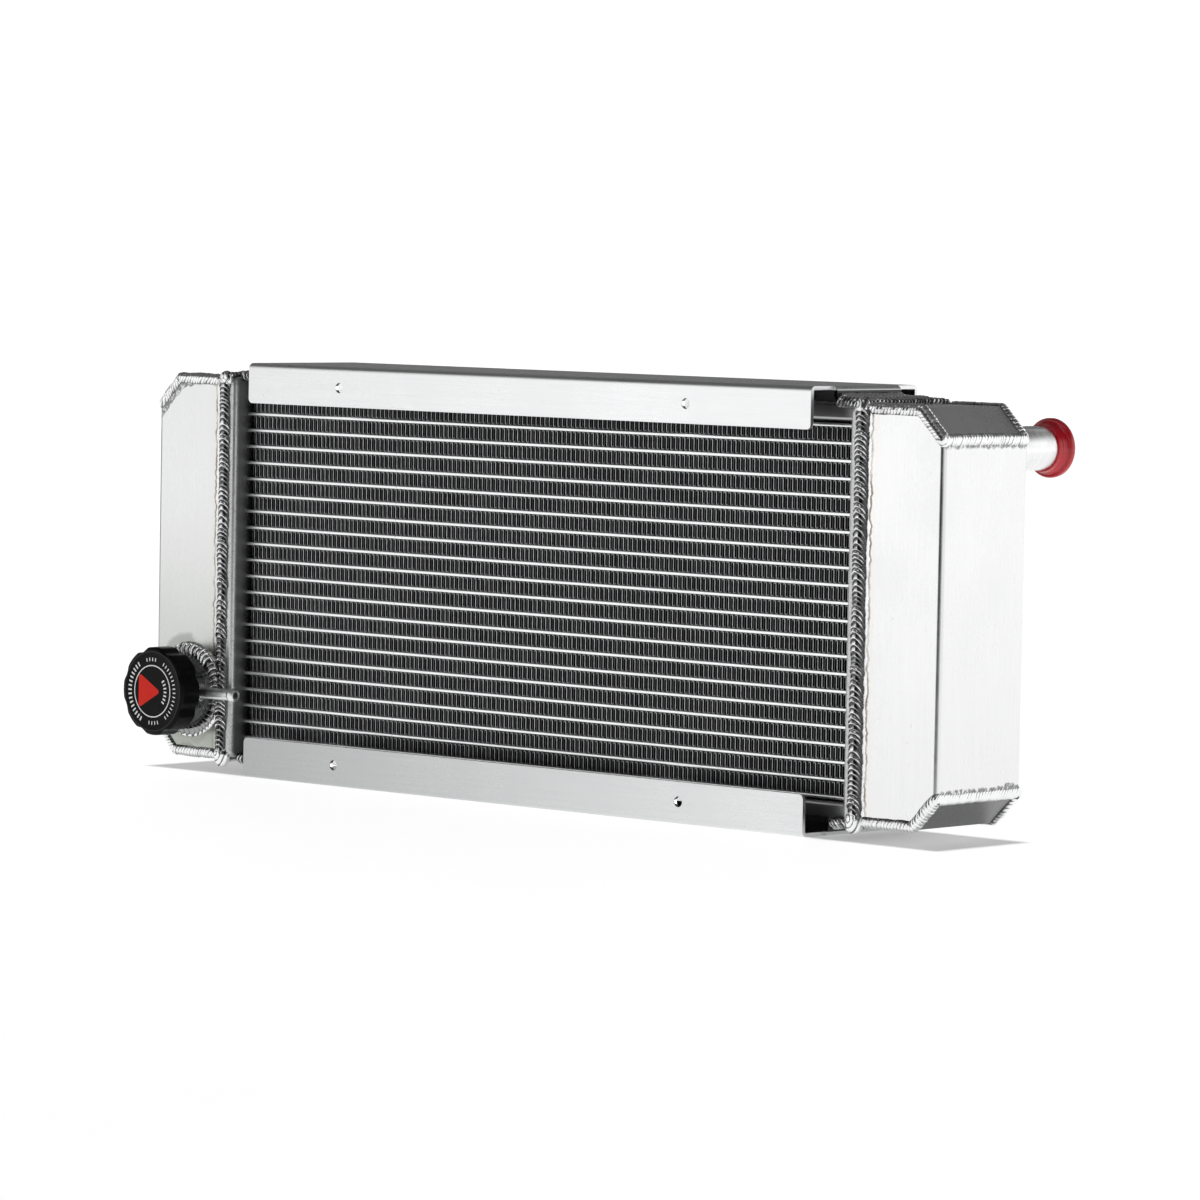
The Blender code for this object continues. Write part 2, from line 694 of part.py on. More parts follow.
def add_vacuum_valve(axis, material):
    """Small disc under the pressure valve's port, hung from a headed pin."""
    low = NECK_SEAT - VACUUM_THICKNESS
    top = VACUUM_HEAD_HEIGHT + VACUUM_THICKNESS
    profile = [
        (0, low),
        (VACUUM_DISC, low),
        (VACUUM_DISC, NECK_SEAT),
        (VACUUM_PIN, NECK_SEAT),
        (VACUUM_PIN, VACUUM_HEAD_HEIGHT),
        (VACUUM_HEAD, VACUUM_HEAD_HEIGHT),
        (VACUUM_HEAD, top),
        (0, top),
    ]
    add_object("vacuum_valve", turned(profile, SMALL_STEPS), material, parent=axis)


def add_spring(axis, material):
    """Coil spring between the cap's top and the pressure valve's plate."""
    low = NECK_SEAT + VALVE_PLATE + 2 * GAP + SPRING_WIRE
    high = CAP_FRONT - CAP_TOP_THICKNESS - GAP - SPRING_WIRE
    count = SPRING_TURNS * SPRING_STEPS
    curve = bpy.data.curves.new("cap_spring", "CURVE")
    curve.dimensions = "3D"
    curve.bevel_depth = SPRING_WIRE
    curve.bevel_resolution = 1
    curve.use_fill_caps = True
    line = curve.splines.new("POLY")
    line.points.add(count)
    for i, point in enumerate(line.points):
        angle = math.tau * i / SPRING_STEPS
        height = low + (high - low) * i / count
        point.co = (SPRING_RADIUS * math.cos(angle), SPRING_RADIUS * math.sin(angle), height, 1)
    curve.materials.append(material)
    spring = bpy.data.objects.new("cap_spring", curve)
    spring.parent = axis
    bpy.context.collection.objects.link(spring)


# ---------------------------------------------------------------- assembly


def main():
    for old in list(bpy.data.objects):
        bpy.data.objects.remove(old)
    sheet = brushed_sheet()
    add_tubes(bright_tube())
    add_fins(dark_fin())
    add_side_plates(sheet)
    add_header("header_left", -1, sheet)
    add_header("header_right", 1, sheet)
    tank_left = add_tank("tank_left", -1, sheet)
    add_tank("tank_right", 1, sheet)
    add_channel("channel_top", True, sheet)
    add_channel("channel_bottom", False, sheet)
    add_pipe("inlet_pipe", -1, sheet)
    add_pipe("outlet_pipe", 1, sheet)
    red = red_plastic()
    add_plug("inlet_plug", -1, red)
    add_plug("outlet_plug", 1, red)
    axis = add_filler_axis()
    add_neck(tank_left, axis, machined_neck())
    add_cap_shell(axis, black_anodised())
    steel = spring_steel()
    add_pressure_valve(axis, steel)
    add_spring(axis, steel)
    add_vacuum_valve(axis, valve_brass())


main()
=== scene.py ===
"""Looks of the aluminium car radiator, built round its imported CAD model."""

import math

import bmesh
import bpy
import numpy as np
from mathutils import Matrix, Vector
from mathutils.geometry import tessellate_polygon


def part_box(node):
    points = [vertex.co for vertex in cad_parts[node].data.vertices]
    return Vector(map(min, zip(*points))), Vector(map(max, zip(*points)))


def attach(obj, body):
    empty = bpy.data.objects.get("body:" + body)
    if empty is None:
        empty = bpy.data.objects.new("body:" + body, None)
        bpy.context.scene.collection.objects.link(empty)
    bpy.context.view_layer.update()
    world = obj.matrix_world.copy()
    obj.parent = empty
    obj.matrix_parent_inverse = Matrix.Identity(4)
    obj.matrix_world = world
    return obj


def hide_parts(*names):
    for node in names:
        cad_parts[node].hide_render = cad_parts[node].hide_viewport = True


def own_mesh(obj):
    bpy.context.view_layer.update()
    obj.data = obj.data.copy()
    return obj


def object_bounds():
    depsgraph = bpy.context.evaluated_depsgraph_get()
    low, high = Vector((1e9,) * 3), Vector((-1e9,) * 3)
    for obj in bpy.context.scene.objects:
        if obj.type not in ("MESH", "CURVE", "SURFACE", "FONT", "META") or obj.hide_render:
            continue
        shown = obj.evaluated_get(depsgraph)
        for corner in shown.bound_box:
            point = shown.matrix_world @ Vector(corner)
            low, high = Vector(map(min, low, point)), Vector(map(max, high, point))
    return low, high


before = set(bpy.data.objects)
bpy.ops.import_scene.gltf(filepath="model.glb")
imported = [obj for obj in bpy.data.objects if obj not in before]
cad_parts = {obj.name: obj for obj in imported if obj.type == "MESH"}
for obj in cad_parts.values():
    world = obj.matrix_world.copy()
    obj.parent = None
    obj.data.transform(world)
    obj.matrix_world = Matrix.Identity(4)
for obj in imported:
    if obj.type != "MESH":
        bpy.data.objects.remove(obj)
SIZE_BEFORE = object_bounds()

# ---------------------------------------------------------------- places, from the CAD

TUBES = sorted(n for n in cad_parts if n.startswith("core_tube"))
FINS = sorted(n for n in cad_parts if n.startswith("fin_row"))
LOW, HIGH = SIZE_BEFORE
TANK_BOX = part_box("tank_right")
MIDDLE = (TANK_BOX[0].z + TANK_BOX[1].z) / 2
TANK_IN = TANK_BOX[0].x
TANK_OUT = TANK_BOX[1].x
TANK_FRONT = TANK_BOX[0].y
TANK_HALF_DEPTH = -TANK_FRONT
HALF_HEIGHT = TANK_BOX[1].z - MIDDLE
HEADER_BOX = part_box("header_right")
PLATE = HEADER_BOX[0].x
HEADER_RIM = HEADER_BOX[1].x
HEADER_DEPTH = HEADER_BOX[1].y
CAP_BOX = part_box("cap_shell")
NECK_X = (CAP_BOX[0].x + CAP_BOX[1].x) / 2
NECK_Z = (CAP_BOX[0].z + CAP_BOX[1].z) / 2
CAP_RADIUS = (CAP_BOX[1].x - CAP_BOX[0].x) / 2
CAP_FRONT = TANK_FRONT - CAP_BOX[0].y
CAP_BACK = TANK_FRONT - CAP_BOX[1].y
NECK_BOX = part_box("filler_neck")
NECK_RIM = TANK_FRONT - NECK_BOX[0].y
NIPPLE_END = NECK_BOX[1].x - NECK_X
PIPE_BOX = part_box("outlet_pipe")
PIPE_RADIUS = (PIPE_BOX[1].x - PIPE_BOX[0].x) / 2
PIPE_X = (PIPE_BOX[1].x + PIPE_BOX[0].x) / 2
PIPE_END = PIPE_BOX[1].y
PIPE_HEIGHT = (PIPE_BOX[1].z + PIPE_BOX[0].z) / 2 - MIDDLE
PLUG_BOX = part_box("outlet_plug")
PLUG_RADIUS = (PLUG_BOX[1].x - PLUG_BOX[0].x) / 2
PLUG_END = PLUG_BOX[1].y
TUBE_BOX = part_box(TUBES[0])
CHANNEL_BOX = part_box("channel_top")
CHANNEL_DEPTH = CHANNEL_BOX[1].y
CHANNEL_HEIGHT = CHANNEL_BOX[1].z - CHANNEL_BOX[0].z
TONGUE_END = CHANNEL_BOX[1].x

# ---------------------------------------------------------------- sizes the boxes don't give

SHEET = 0.0025
CHANNEL_REACH = 0.227
CHANNEL_BEND = 0.001
CHANNEL_CORNER = 0.003
CHANNEL_HOLES = (-0.1485, 0.1325)
HOLE_RADIUS = 0.0030
HOLE_FROM_WEB = 0.0129
TONGUE_HALF = 0.028
TONGUE_DROP = 0.0067
HEADER_CORNER = 0.005
HEADER_BEND = 0.003
TANK_CHAMFER = 0.0172
TANK_FACE = TANK_OUT - 0.0005  # leaves room for the beads that cross the outer face
TANK_BEND = 0.0028
PIPE_BORE = 0.0112
NECK_CHAMBER = 0.0165
NECK_THROAT = 0.0137
NECK_SEAT = 0.008
NECK_BODY = 0.0215
NIPPLE_HEIGHT = 0.0125
NIPPLE_RADIUS = 0.0036
WAVE = 0.0036  # from one fold of the foil to the next on the same side
FOIL = 0.00033
LOUVRE = 0.0011  # from one louvre to the next, along the depth
FIN_SPACE = 0.004  # between the last fold and the header's plate

# ---------------------------------------------------------------- shape tools

ALONG_X = Matrix(((0, 0, 1, 0), (1, 0, 0, 0), (0, 1, 0, 0), (0, 0, 0, 1)))
ALONG_Y = Matrix(((1, 0, 0, 0), (0, 0, 1, 0), (0, 1, 0, 0), (0, 0, 0, 1)))


def link(name, data):
    """A new object in the scene."""
    made = bpy.data.objects.new(name, data)
    bpy.context.scene.collection.objects.link(made)
    return made


def add_piece(name, mesh, body="root", slot=None, replaces=(), place=(0, 0, 0)):
    """An object that rides on a body and stands in for the CAD nodes it hides; its slot argument is not used.
    """
    made = link(name, mesh)
    made.location = place
    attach(made, body)
    if replaces:
        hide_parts(*replaces)
    return made


def dress(mesh, material, sharp=35):
    """Gives a mesh its material and its shading; edges over the sharp angle stay crisp."""
    mesh.materials.append(material)
    mesh.shade_smooth()
    if sharp:
        mesh.set_sharp_from_angle(angle=math.radians(sharp))


def add_mesh(name, mesh, material, sharp=35, **rest):
    dress(mesh, material, sharp)
    return add_piece(name, mesh, **rest)


def mesh_from(name, bm):
    """Turns the faces outwards and makes a mesh of them."""
    bmesh.ops.recalc_face_normals(bm, faces=bm.faces)
    mesh = bpy.data.meshes.new(name)
    bm.to_mesh(mesh)
    bm.free()
    return mesh


def add_bm(name, bm, material, **rest):
    return add_mesh(name, mesh_from(name, bm), material, **rest)


def add_grid(name, points, material, closed_u=False, closed_v=False, relief=None, flip=False, **rest):
    """A skin over a grid of points (rows u, columns v)."""
    rows, columns = points.shape[:2]
    index = np.arange(rows * columns).reshape(rows, columns)
    if closed_u:
        index = np.vstack([index, index[:1]])
    if closed_v:
        index = np.hstack([index, index[:, :1]])
    a, b, c, d = index[:-1, :-1], index[1:, :-1], index[1:, 1:], index[:-1, 1:]
    faces = np.stack([a, b, c, d], -1).reshape(-1, 4)
    if flip:
        faces = faces[:, ::-1]
    mesh = bpy.data.meshes.new(name)
    mesh.from_pydata(points.reshape(-1, 3).tolist(), [], faces.tolist())
    if relief is not None:
        made = mesh.attributes.new("relief", "FLOAT", "POINT")
        made.data.foreach_set("value", relief.astype(np.float32).ravel())
    return add_mesh(name, mesh, material, **rest)


def carve(target, cutters, operation="DIFFERENCE"):
    """Cuts with helper solids, keeps the result as the object's own mesh and removes the helpers."""
    for cutter in cutters:
        step = target.modifiers.new(cutter.name, "BOOLEAN")
        step.operation = operation
        step.solver = "EXACT"
        step.object = cutter
    bake(target)
    for cutter in cutters:
        bpy.data.objects.remove(cutter)


def bake(target, sharp=35):
    """Applies an object's modifiers."""
    bpy.context.view_layer.update()
    shape = target.evaluated_get(bpy.context.evaluated_depsgraph_get())
    mesh = bpy.data.meshes.new_from_object(shape)
    target.modifiers.clear()
    target.data = mesh
    mesh.shade_smooth()
    mesh.set_sharp_from_angle(angle=math.radians(sharp))


def flatten(target):
    """Keeps the shading of large flat faces flat beside their rounded edges."""
    step = target.modifiers.new("flat_faces", "WEIGHTED_NORMAL")
    step.mode = "FACE_AREA"
    step.weight = 100
    step.keep_sharp = True


def soften(target, width, segments=2, angle=40):
    """Rounds the sharp edges."""
    step = target.modifiers.new("soften", "BEVEL")
    step.width = width
    step.segments = segments
    step.limit_method = "ANGLE"
    step.angle_limit = math.radians(angle)
    step.harden_normals = False
    bake(target)
    flatten(target)


def keep_inside(target, node):
    """Moves vertices that a rounded edge pushed past the CAD's box back onto it."""
    low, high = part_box(node)
    for vert in target.data.vertices:
        vert.co = [min(max(value, low[i]), high[i]) for i, value in enumerate(vert.co)]


def helper(name, bm):
    """A solid that only cuts, and is removed afterwards."""
    made = link(name, mesh_from(name, bm))
    made.hide_render = True
    return made


def extrude(bm, faces, reach):
    made = bmesh.ops.extrude_face_region(bm, geom=faces)
    raised = [v for v in made["geom"] if isinstance(v, bmesh.types.BMVert)]
    bmesh.ops.translate(bm, verts=raised, vec=reach)


def merge_points(made, sharp, empty_area=0.0):
    """Joins points that coincide and deletes the faces that have next to no area."""
    bm = bmesh.new()
    bm.from_mesh(made.data)
    bmesh.ops.remove_doubles(bm, verts=bm.verts, dist=1e-7)
    empty = [f for f in bm.faces if f.calc_area() < empty_area]
    bmesh.ops.delete(bm, geom=empty, context="FACES_ONLY")
    bmesh.ops.recalc_face_normals(bm, faces=bm.faces)
    bm.to_mesh(made.data)
    bm.free()
    made.data.set_sharp_from_angle(angle=math.radians(sharp))


def moved(points, place):
    """A grid of points taken to a place."""
    flat = points.reshape(-1, 3) @ np.array(place.to_3x3()).T + np.array(place.translation)
    return flat.reshape(points.shape)


def arc(centre, radius, start, end, steps):
    """Points from a start angle to an end angle, in degrees."""
    angles = [math.radians(start + (end - start) * i / steps) for i in range(steps + 1)]
    return [(centre[0] + radius * math.cos(a), centre[1] + radius * math.sin(a)) for a in angles]


def circle(centre, radius, steps=48):
    return arc(centre, radius, 0, 360, steps)[:-1]


def prism(loops, low, high, direction=None):
    """Outlines with holes, raised from low to high; direction maps Z to another axis."""
    bm = bmesh.new()
    verts = [bm.verts.new((x, y, low)) for loop in loops for x, y in loop]
    polygons = [[Vector((x, y, 0)) for x, y in loop] for loop in loops]
    for corners in tessellate_polygon(polygons):
        bm.faces.new([verts[i] for i in corners])
    extrude(bm, bm.faces[:], (0, 0, high - low))
    if direction:
        bmesh.ops.transform(bm, matrix=direction, verts=bm.verts)
    return bm


def rod(name, centre, radius, half_length, steps=40):
    """A round helper along Y."""
    return helper(name, prism([circle((centre[0], centre[2]), radius, steps)],
                              centre[1] - half_length, centre[1] + half_length, ALONG_Y))


def turned(name, profile, place, material, steps=96, rounding=0.0, **rest):
    """Spins a closed (radius, height) outline about an axis; place maps Z to that axis."""
    if rounding:
        profile = round_outline(profile, rounding)
    radius, height = np.array(profile, float).T
    angle = np.linspace(0, math.tau, steps, endpoint=False)
    points = np.stack([np.outer(np.cos(angle), radius), np.outer(np.sin(angle), radius),
                       np.tile(height, (steps, 1))], -1)
    made = add_grid(name, moved(points, place), material, closed_u=True, closed_v=True, **rest)
    merge_points(made, 30)
    return made


def bezier(start, middle, end, steps):
    """Points along a corner's curve, both ends included."""
    shares = [k / steps for k in range(steps + 1)]
    return [tuple(start * (1 - t) ** 2 + middle * 2 * t * (1 - t) + end * t * t) for t in shares]


def round_outline(profile, radius, steps=3):
    """Rounds each corner of a closed outline, less where a side is short."""
    least_turn = math.radians(12)
    points = []
    for i, corner in enumerate(profile):
        here = Vector(corner)
        into = here - Vector(profile[i - 1])
        out = Vector(profile[(i + 1) % len(profile)]) - here
        on_axis = here.x < 1e-9
        if not on_axis and min(into.length, out.length) < 1e-9:
            continue
        turn = 0.0 if on_axis else into.normalized().angle(out.normalized())
        if turn < least_turn:
            points.append(tuple(here))
            continue
        cut = min(radius * math.tan(turn / 2), 0.4 * into.length, 0.4 * out.length)
        points += bezier(here - into.normalized() * cut, here, here + out.normalized() * cut, steps)
    return points


def along(axis, place):
    """The matrix that puts a turned shape's Z on an axis at a place."""
    turn = Vector((0, 0, 1)).rotation_difference(Vector(axis)).to_matrix().to_4x4()
    return Matrix.Translation(place) @ turn


def wander(s, step, seed):
    """Smooth random values along s, from -1 to 1."""
    random = np.random.default_rng(seed)
    s = np.asarray(s, float)
    knots = random.uniform(-1, 1, int(s.max() / step) + 3)
    t = s / step
    i = t.astype(int)
    f = t - i
    f = f * f * (3 - 2 * f)
    return knots[i] * (1 - f) + knots[i + 1] * f


# ---------------------------------------------------------------- materials


def dim(tone, factor):
    return tuple(c * factor for c in tone)


def grey(level):
    return (level,) * 3


class Nodes:
    """Short ways to add nodes to a shader tree."""

    def __init__(self, tree, place):
        self.tree = tree
        self.place = self.node("TexCoord").outputs[place]

    def node(self, kind, settings=None, **inputs):
        """A new node; an input goes by its name, or by its number as i0, i1 and so on."""
        made = self.tree.nodes.new("ShaderNode" + kind)
        for key, value in (settings or {}).items():
            setattr(made, key, value)
        for key, value in inputs.items():
            self.feed(made.inputs[int(key[1:]) if key[0] == "i" and key[1:].isdigit() else key], value)
        return made

    def feed(self, socket, value):
        if isinstance(value, bpy.types.NodeSocket):
            self.tree.links.new(value, socket)
        elif isinstance(value, (tuple, list)) and socket.type == "RGBA" and len(value) == 3:
            socket.default_value = (*value, 1)
        else:
            socket.default_value = value

    def math(self, operation, a, b=0.0):
        return self.node("Math", {"operation": operation}, i0=a, i1=b).outputs[0]

    def plus(self, a, b):
        return self.math("ADD", a, b)

    def minus(self, a, b):
        return self.math("SUBTRACT", a, b)

    def times(self, first, *others):
        for other in others:
            first = self.math("MULTIPLY", first, other)
        return first

    def least(self, a, b):
        return self.math("MINIMUM", a, b)

    def most(self, a, b):
        return self.math("MAXIMUM", a, b)

    def size(self, a):
        return self.math("ABSOLUTE", a)

    def vector(self, operation, a, b):
        return self.node("VectorMath", {"operation": operation}, i0=a, i1=b)

    def noise(self, grains, detail=3.0, roughness=0.5):
        """Noise of so many grains per metre, the same on every axis or one number for each."""
        factor = grains if isinstance(grains, tuple) else (grains,) * 3
        made = self.node("TexNoise", None, Vector=self.vector("MULTIPLY", self.place, factor).outputs[0],
                         Scale=1.0, Detail=detail, Roughness=roughness)
        return made.outputs[0]

    def ramp(self, value, low, high, to_low=0.0, to_high=1.0, smooth=True):
        kind = "SMOOTHSTEP" if smooth else "LINEAR"
        made = self.node("MapRange", {"interpolation_type": kind}, Value=value)
        for key, number in (("From Min", low), ("From Max", high), ("To Min", to_low), ("To Max", to_high)):
            self.feed(made.inputs[key], number)
        return made.outputs["Result"]

    def mix(self, amount, a, b):
        """Colour a, turning into b by amount."""
        made = self.node("Mix", {"data_type": "RGBA", "blend_type": "MIX"}, Factor=amount, i6=a, i7=b)
        return made.outputs[2]

    def axes(self):
        return self.node("SeparateXYZ", None, i0=self.place).outputs

    def spoke(self, centre, axis):
        """Distance from the axis through a centre, and height along it."""
        from_centre = self.vector("SUBTRACT", self.place, centre).outputs[0]
        flat = tuple(0.0 if a == axis else 1.0 for a in range(3))
        radius = self.vector("LENGTH", self.vector("MULTIPLY", from_centre, flat).outputs[0], (0, 0, 0))
        return radius.outputs["Value"], self.node("SeparateXYZ", None, i0=from_centre).outputs[axis]

    def lathe_lines(self, radius, height, face_rings, side_rings):
        """Fine turned lines, so many per metre on the face and on the side."""
        face, side = self.times(radius, face_rings), self.times(height, side_rings)
        spiral = self.node("CombineXYZ", None, X=face, Y=side).outputs[0]
        return self.node("TexNoise", None, Vector=spiral, Scale=1.0, Detail=3.0).outputs[0]

    def bump(self, height, distance, strength=1.0, normal=None):
        made = self.node("Bump", None, Height=height, Distance=distance, Strength=strength)
        if normal:
            self.feed(made.inputs["Normal"], normal)
        return made.outputs[0]


class Looks(Nodes):
    """One Principled material."""

    def __init__(self, name):
        self.material = bpy.data.materials.new(name)
        self.material.use_nodes = True
        super().__init__(self.material.node_tree, "Object")

    def set(self, **values):
        shader = self.tree.nodes["Principled BSDF"]
        for key, value in values.items():
            self.feed(shader.inputs[key.replace("_", " ")], value)
        return self.material


def sheet_metal(name, grain, tone, rough, marks=None, shade=None, contrast=0.10):
    """Brushed aluminium with grains per metre on each axis; marks and shade add what one part has."""
    k = Looks(name)
    streak = k.noise(grain, 4, 0.6)
    fine = k.noise(dim(grain, 4), 2, 0.6)
    cloud = k.noise((18, 18, 14), 3, 0.55)
    low_tone = dim(tone, 1 - contrast)
    colour = k.mix(k.ramp(streak, 0.25, 0.75), low_tone, tone)
    colour = k.mix(k.ramp(cloud, 0.3, 0.7, 0.0, 0.35), colour, low_tone)
    if shade:
        colour = shade(k, colour)
    spread = 0.6 * contrast
    roughness = k.ramp(fine, 0.2, 0.8, rough - spread, rough + spread)
    roughness = k.plus(roughness, k.ramp(cloud, 0.3, 0.7, -0.02, 0.03))
    speck = k.ramp(k.noise(420, 2, 0.5), 0.70, 0.78)
    colour = k.mix(k.times(speck, 0.25), colour, grey(0.45))
    if marks:
        colour, roughness = marks(k, colour, roughness)
    height = k.plus(k.times(fine, 0.6), k.times(streak, 0.4))
    brushing = k.bump(height, 0.00002, 5 * contrast)
    dents = k.bump(k.noise((22, 22, 16), 2, 0.4), 0.0012, 0.06, brushing)
    return k.set(Base_Color=colour, Metallic=1.0, Roughness=roughness, Normal=dents)


def weld_heat(k, colour, slope, broad):
    """The dark band beside the end caps' welds, wider at the filler's upper corner."""
    x, y, z = k.axes()
    across, up = k.size(x), k.size(k.minus(z, MIDDLE))
    from_cap = k.least(k.minus(HALF_HEIGHT, up), k.times(slope, math.sqrt(0.5)))
    from_edge = k.times(k.minus(TANK_FACE, across), math.sqrt(2))
    on_cap = k.ramp(from_cap, 0.0004, 0.0003)
    beside = k.times(k.minus(1.0, on_cap), from_cap)
    over = k.times(on_cap, k.least(k.minus(TANK_HALF_DEPTH, k.size(y)), from_edge))
    ragged = k.ramp(k.noise(180, 3, 0.55), 0.3, 0.7, 0.0, 0.0012)
    reach = k.plus(ragged, k.ramp(broad, 0.58, 0.74, 0.0, 0.0030))
    reach = k.plus(reach, k.ramp(x, -0.1, 0.1, 0.0054, 0.0037))
    corner = k.times(k.ramp(x, -0.20, -0.25), k.ramp(z, MIDDLE, MIDDLE + 0.05), k.ramp(slope, 0.0150, 0.0120))
    reach = k.plus(reach, k.times(corner, 0.0030))
    shadow = k.ramp(k.minus(reach, k.plus(beside, over)), 0.0, 0.0012)
    grain = k.ramp(k.noise((500, 500, 300), 3, 0.7), 0.34, 0.52)
    return k.mix(k.times(shadow, grain, 0.85), colour, (0.15, 0.153, 0.156))


def neck_soot(k, colour, broad):
    """Soot round the filler's weld."""
    spoke = k.plus(k.spoke((NECK_X, 0, NECK_Z), 1)[0], k.ramp(broad, 0.3, 0.7, -0.003, 0.003))
    soot = k.times(k.ramp(spoke, 0.0345, 0.0300), k.ramp(k.axes()[1], -0.030, -0.036), 0.6)
    return k.mix(soot, colour, (0.16, 0.162, 0.155))


def seam_strip(k, colour):
    """The strip that the header's weld leaves bright, with a straw-brown line where it ends."""
    seam = k.minus(k.size(k.axes()[0]), (TANK_IN + HEADER_RIM) / 2)
    seam = k.plus(seam, k.ramp(k.noise((60, 60, 150), 4, 0.65), 0.25, 0.75, -0.0010, 0.0010))
    strip = k.ramp(seam, 0.0075, 0.0069)
    broken = k.ramp(k.noise(60, 3, 0.6), 0.36, 0.60, 0.35, 0.95)
    line = k.times(k.ramp(seam, 0.0069, 0.0074), k.ramp(seam, 0.0090, 0.0080), broken)
    tint = k.times(k.ramp(seam, 0.0145, 0.0082), k.ramp(seam, 0.0074, 0.0084), 0.22)
    colour = k.mix(tint, colour, (0.86, 0.76, 0.62))
    colour = k.mix(line, colour, (0.20, 0.175, 0.15))
    return k.mix(k.times(strip, 0.55), colour, grey(0.93)), strip


def bend_painted_shade(k, colour, broad):
    """Painted shade: the front half of each upright bend is darkened, standing in for the dark reflection the
    bend shows.
    """
    x, y, _ = k.axes()
    into_x = k.minus(TANK_FACE - TANK_BEND, k.size(x))
    into_y = k.minus(TANK_HALF_DEPTH - TANK_BEND, k.size(y))
    on_bend = k.times(k.ramp(into_x, 0.0001, -0.0004), k.ramp(into_y, 0.0003, -0.0001))
    front_half = k.ramp(k.minus(into_y, into_x), 0.0009, -0.0009)
    painted_shade = k.times(on_bend, front_half, k.ramp(broad, 0.2, 0.7, 0.62, 0.88))
    return k.mix(painted_shade, colour, (0.14, 0.145, 0.15))


def tank_marks(k, colour, roughness):
    """What welding and handling left on the tanks, plus painted shade on the upright bends, the lower sloped
    panels and the filler tank's foot, by distances in metres.
    """
    x, _, z = k.axes()
    rise = k.size(k.minus(z, MIDDLE))
    slope = k.minus(TANK_FACE + HALF_HEIGHT - TANK_CHAMFER, k.plus(k.size(x), rise))
    broad = k.noise(45, 3, 0.6)
    colour = weld_heat(k, colour, slope, broad)
    colour = neck_soot(k, colour, broad)
    colour, strip = seam_strip(k, colour)
    # painted shade on the front half of each upright bend
    colour = bend_painted_shade(k, colour, broad)
    # painted shade: the lower sloped panel is darkened, standing in for the dark floor under the radiator
    # that it reflects
    low_slope_shade = k.times(k.ramp(slope, 0.0007, 0.0002), k.ramp(z, MIDDLE, MIDDLE - 0.02), 0.80)
    colour = k.mix(low_slope_shade, colour, (0.06, 0.062, 0.065))
    # painted shade: the filler's tank is darker and greener towards its foot
    filler_side = k.ramp(x, -0.20, -0.24)
    colour = k.mix(k.times(filler_side, k.ramp(z, 0.19, 0.03), 0.62), colour, (0.40, 0.43, 0.38))
    foot = k.times(filler_side, k.ramp(z, 0.060, 0.020), k.ramp(broad, 0.3, 0.7, 0.35, 0.60))
    colour = k.mix(foot, colour, (0.25, 0.275, 0.235))
    return colour, k.mix(k.times(strip, 0.5), roughness, grey(0.22))


def header_marks(k, colour, roughness):
    """The plate facing the core is dark with flux and painted shade from the core, darkest towards its
    middle; its bent rim and flange are bright.
    """
    x, y, _ = k.axes()
    inner = k.ramp(k.size(x), PLATE + 0.0012, PLATE + 0.0002)
    middle = k.ramp(k.size(y), HEADER_DEPTH - 0.0022, HEADER_DEPTH - 0.0042)
    flux = k.times(inner, middle)
    # painted shade: darkest in the middle of the plate, between the core and the tank
    deep = k.ramp(k.size(y), TUBE_BOX[1].y - 0.004, HEADER_DEPTH - 0.004)
    crust_and_shade = k.mix(deep, (0.05, 0.051, 0.053), (0.30, 0.302, 0.308))
    colour = k.mix(flux, colour, crust_and_shade)
    speck = k.ramp(k.noise(700, 3, 0.7), 0.48, 0.66, 0.0, 0.6)
    return k.mix(speck, colour, grey(0.30)), k.plus(roughness, k.times(flux, 0.2))


def weld_metal(name, dark=0.14, bright=(0.92, 0.925, 0.93), soot_size=420, crest=(0.06, 0.46), shade=None):
    """Fresh weld: painted highlight on the crests and painted shade in the valleys, taken from the bead's
    relief and mottled by soot.
    """
    k = Looks(name)
    relief = k.node("Attribute", {"attribute_name": "relief"}).outputs["Fac"]
    soot = k.noise(soot_size, 3, 0.6)
    patch = k.noise(90, 3, 0.6)
    level = k.plus(relief, k.ramp(soot, 0.2, 0.8, -0.10, 0.10))
    # painted highlight and shade: the colour follows the relief, bright on crests and dark in valleys
    colour = k.mix(k.ramp(level, *crest), tuple(c * dark for c in bright), bright)
    colour = k.mix(k.ramp(patch, 0.56, 0.74, 0.0, 0.4), colour, dim(bright, 0.5))
    if shade:
        colour = shade(k, colour)
    roughness = k.ramp(soot, 0.2, 0.8, 0.14, 0.26)
    normal = k.bump(soot, 0.0002, 0.2)
    return k.set(Base_Color=colour, Metallic=1.0, Roughness=roughness, Normal=normal)


def fin_foil():
    """Dark coated foil with pressed louvres, painted near black as shade inside the core; its cut edges at
    the front and back are lighter, with painted highlight on alternate legs.
    """
    k = Looks("fin_foil")
    y = k.axes()[1]
    rim = k.ramp(k.size(y), TUBE_BOX[1].y - 0.00075, TUBE_BOX[1].y - 0.0004)
    grime = k.noise((260, 260, 500), 4, 0.65)
    patch = k.noise((22, 22, 60), 3, 0.6)
    # painted shade: the foil away from its cut edges is near black
    dark = k.mix(k.ramp(grime, 0.25, 0.75), (0.008, 0.0083, 0.0086), (0.030, 0.031, 0.032))
    dark = k.mix(k.ramp(patch, 0.35, 0.7, 0.0, 0.6), dark, (0.024, 0.025, 0.026))
    # painted highlight and shade on alternate legs
    painted_highlight = k.node("Attribute", {"attribute_name": "painted_highlight"}).outputs["Fac"]
    bright = k.mix(k.ramp(grime, 0.3, 0.7), (0.52, 0.53, 0.54), (0.84, 0.85, 0.86))
    edge = k.mix(painted_highlight, (0.04, 0.041, 0.043), bright)
    louvre = k.math("SINE", k.times(y, math.tau / LOUVRE))
    return k.set(Base_Color=k.mix(rim, dark, edge), Metallic=0.85,
                 Roughness=k.ramp(grime, 0.2, 0.8, 0.34, 0.55), Normal=k.bump(louvre, 0.00012, 0.6))


